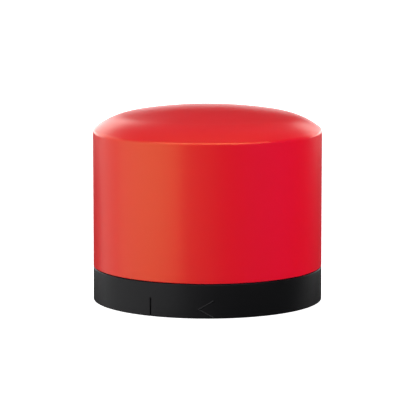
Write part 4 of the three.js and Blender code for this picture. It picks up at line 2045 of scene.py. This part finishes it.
    def switch(self) -> bpy.types.Object:
        """Makes the body of the mode switch with its three slots and six pins.

        Returns:
            The body.
        """
        place = Place.of("mode_switch_body")
        x, y = middle("mode_switch_body")
        low, high = place.bottom, place.top
        gap, margin = 0.3, 0.6
        size = (place.size.x, place.size.y - margin, high - low - gap)
        body = block("body", size, (x, y, (low + gap + high) / 2), 0.18)
        columns = [across for across, _ in middles("mode_slider", 3)]
        slot = (*self.switch_slot, 3)
        slots = [block("slot", slot, (column, y, high - self.slot_depth + 1.5)) for column in columns]
        combined(body, slots, Join.CUT)
        pins = Leads(0.5, [column - x for column in columns]).model((x, y), place.size.y / 2, low, 1.3)
        dressed(body, SWITCH_RED.material())
        dressed(pins, SOLDER.material())
        return joined("mode_switch_made_up", [body, pins])

    def slider(self, node: str) -> bpy.types.Object:
        """Makes one slider with three grip notches.

        Args:
            node: The slider's node.

        Returns:
            The slider.
        """
        place = Place.of(node)
        body = block(f"{node}_peg", place.size, place.centre, 0.12)
        x, y = middle(node)
        notches = [block("grip", (2, 0.16, 0.3), (x, y + dy, place.top)) for dy in (-0.3, 0, 0.3)]
        return combined(body, notches, Join.CUT)

    def build(self, register: Register) -> None:
        """Makes and places every component.

        Args:
            register: The frame's nodes.
        """
        register.instead(self.capacitor(), "smoothing_capacitor")
        register.instead(self.choke(), "choke")
        for package in self.packages:
            register.instead(package.model(), package.node)
        register.instead(self.varistor(), "surge_varistor")
        register.instead(self.switch(), "mode_switch_body")
        for node in numbered("mode_slider", 3):
            register.instead(dressed(self.slider(node), SLIDER_WHITE.material()), node)


# ------------------------------------------------------------------ studio


class Use(Enum):
    """What a lamp is for."""

    MIRRORED = "seen in the gloss"
    LIT = "lights the surfaces"


class Reach(Enum):
    """Which pieces a lamp shines on."""

    EVERYTHING = "everything"
    LENS = "the lens alone"
    REST = "everything but the lens"


@dataclass(frozen=True)
class Softbox:
    """A soft lamp that faces the module."""

    name: str
    bearing: float  # degrees from the front, positive to the right
    elevation: float
    distance: float  # metres
    size: Point  # metres
    brightness: float  # how bright its face is
    use: Use = Use.MIRRORED
    colour: str = "ffffff"
    reach: Reach = Reach.EVERYTHING

    def build(self, lens: bpy.types.Object) -> None:
        """Adds the lamp.

        Args:
            lens: The lens, for the lamps that shine on it alone or on all but it.
        """
        width, height = self.size
        light = bpy.data.lights.new(self.name, "AREA")
        light.shape = "RECTANGLE"
        light.size = width
        light.size_y = height
        light.energy = self.brightness * math.pi * width * height
        light.color = linear(self.colour)[:3]
        lamp = bpy.data.objects.new(self.name, light)
        bpy.context.scene.collection.objects.link(lamp)
        flat = self.distance * math.cos(math.radians(self.elevation))
        bearing = math.radians(self.bearing)
        lamp.location = (
            flat * math.sin(bearing),
            -flat * math.cos(bearing),
            Studio.aim_height + self.distance * math.sin(math.radians(self.elevation)),
        )
        target = Vector((0, 0, Studio.aim_height))
        lamp.rotation_euler = (target - lamp.location).to_track_quat("-Z", "Y").to_euler()
        lamp.visible_camera = False
        lamp.visible_diffuse = self.use is Use.LIT
        lamp.visible_glossy = self.use is Use.MIRRORED
        if self.reach is not Reach.EVERYTHING:
            self.narrow(lamp, lens)

    def narrow(self, lamp: bpy.types.Object, lens: bpy.types.Object) -> None:
        """Makes the lamp shine on the lens alone, or on all but the lens.

        Args:
            lamp: The lamp.
            lens: The lens.
        """
        lit = bpy.data.collections.new(f"{self.name}_reach")
        lit.objects.link(lens)
        state = "INCLUDE" if self.reach is Reach.LENS else "EXCLUDE"
        lit.collection_objects[0].light_linking.link_state = state
        lamp.light_linking.receiver_collection = lit


@dataclass
class Studio:
    """A white floor in a white room, soft boxes, and the camera.

    The right_lens_lamp is magenta and shines on the lens alone, and gives its right side its crimson.
    Every other lamp is white.
    """

    aim_height = 0.030  # metres
    distance: float = 1.0
    elevation: float = 8.86
    lens: float = 279.8
    aim: Spot = (0.00077, 0.0, 0.0273)
    room: float = 1.0
    matt_room: float = 0.12
    mirrored_room: float = 0.03
    floor_gap: float = 0.0001  # metres that keep the floor's face and the collar's foot apart
    boxes: Sequence[Softbox] = field(
        default_factory=lambda: [
            Softbox("left_box", -62, 0, 0.8, (1.2, 0.9), 1.55),
            Softbox("left_edge", -117, 0, 0.8, (0.46, 0.9), 0.85),
            Softbox("top_front_box", 0, 62, 0.7, (1.5, 0.22), 7.0),
            Softbox("front_fade", -8, 0, 0.8, (0.5, 0.9), 0.25),
            Softbox("back_left_box", -150, 14.5, 0.9, (0.66, 0.46), 2.1),
            Softbox("back_right_box", 147, 14, 0.9, (0.56, 0.42), 2.1),
            Softbox("left_high_box", -125, 30, 0.9, (0.5, 0.3), 1.0),
            Softbox("horizon_box", 180, 1, 1.2, (3.2, 0.22), 2.4),
            Softbox("right_edge", 118, 0, 0.8, (0.45, 0.9), 0.35, reach=Reach.REST),
            Softbox("left_lamp", -58, 10, 0.8, (0.9, 0.9), 2.5, Use.LIT),
            Softbox("right_lamp", 55, 10, 0.8, (0.9, 0.9), 1.6, Use.LIT, reach=Reach.REST),
            Softbox("right_lens_lamp", 62, 10, 0.8, (0.9, 0.9), 2.8, Use.LIT, "ff30f0", Reach.LENS),
            Softbox("top_lamp", 180, 66, 0.8, (0.9, 0.9), 1.5, Use.LIT),
            Softbox("back_lamp", 180, 20, 0.8, (0.9, 0.9), 1.8, Use.LIT),
        ]
    )

    def build(self, lens: bpy.types.Object) -> None:
        """Sets the room, the floor, the lamps and the camera.

        Args:
            lens: The lens.
        """
        self.build_room()
        self.build_floor()
        for box in self.boxes:
            box.build(lens)
        self.build_camera()
        bpy.context.scene.view_settings.view_transform = "Standard"

    def build_room(self) -> None:
        """Makes the room white to the eye and to matt surfaces, and dim in a mirror."""
        world = bpy.data.worlds.new("room")
        world.use_nodes = True
        tree = world.node_tree
        tree.nodes.clear()
        ray = add_node(tree, "LightPath")
        matt = add_node(
            tree,
            "MapRange",
            inputs={0: ray.outputs["Is Diffuse Ray"], 3: self.room, 4: self.matt_room},
        )
        strength = add_node(
            tree,
            "MapRange",
            inputs={0: ray.outputs["Is Glossy Ray"], 3: matt.outputs[0], 4: self.mirrored_room},
        )
        light = add_node(tree, "Background", inputs={0: (1, 1, 1, 1), 1: strength.outputs[0]})
        add_node(tree, "OutputWorld", inputs={0: light.outputs[0]})
        world.cycles.sampling_method = "NONE"  # an even white needs no map of its bright parts
        bpy.context.scene.world = world

    def build_floor(self) -> None:
        """Makes the floor: plain white paper that takes no shadow and isn't mirrored."""
        take()
        bpy.ops.mesh.primitive_plane_add(size=12, location=(0, 0, -self.floor_gap))
        floor = new_piece("floor")
        floor.data.materials.append(FLOOR_PAPER.material())
        floor.visible_glossy = False
        floor.visible_diffuse = False
        floor.visible_shadow = False

    def build_camera(self) -> None:
        """Sets the camera a little above the module, in front of it."""
        camera = bpy.data.objects.new("camera", bpy.data.cameras.new("camera"))
        bpy.context.scene.collection.objects.link(camera)
        camera.data.lens = self.lens
        camera.data.sensor_width = 36
        tilt = math.radians(self.elevation)
        back = Vector((0, -math.cos(tilt), math.sin(tilt))) * self.distance
        camera.location = Vector(self.aim) + back
        camera.rotation_euler = (math.radians(90) - tilt, 0, 0)
        bpy.context.scene.camera = camera


# ------------------------------------------------------------------ assembly


def main() -> None:
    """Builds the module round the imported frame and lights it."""
    logging.basicConfig(level=logging.INFO, format="%(message)s")
    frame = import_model()
    register = Register.from_record(frame["record"])
    for part in (Lens(), Collar(), Screws(), Contacts(), MainBoard(), LedCore(), Electronics()):
        LOG.info("building %s", type(part).__name__)
        part.build(register)
    Studio().build(bpy.data.objects["lens_shell"])


if __name__ == "__main__":
    main()
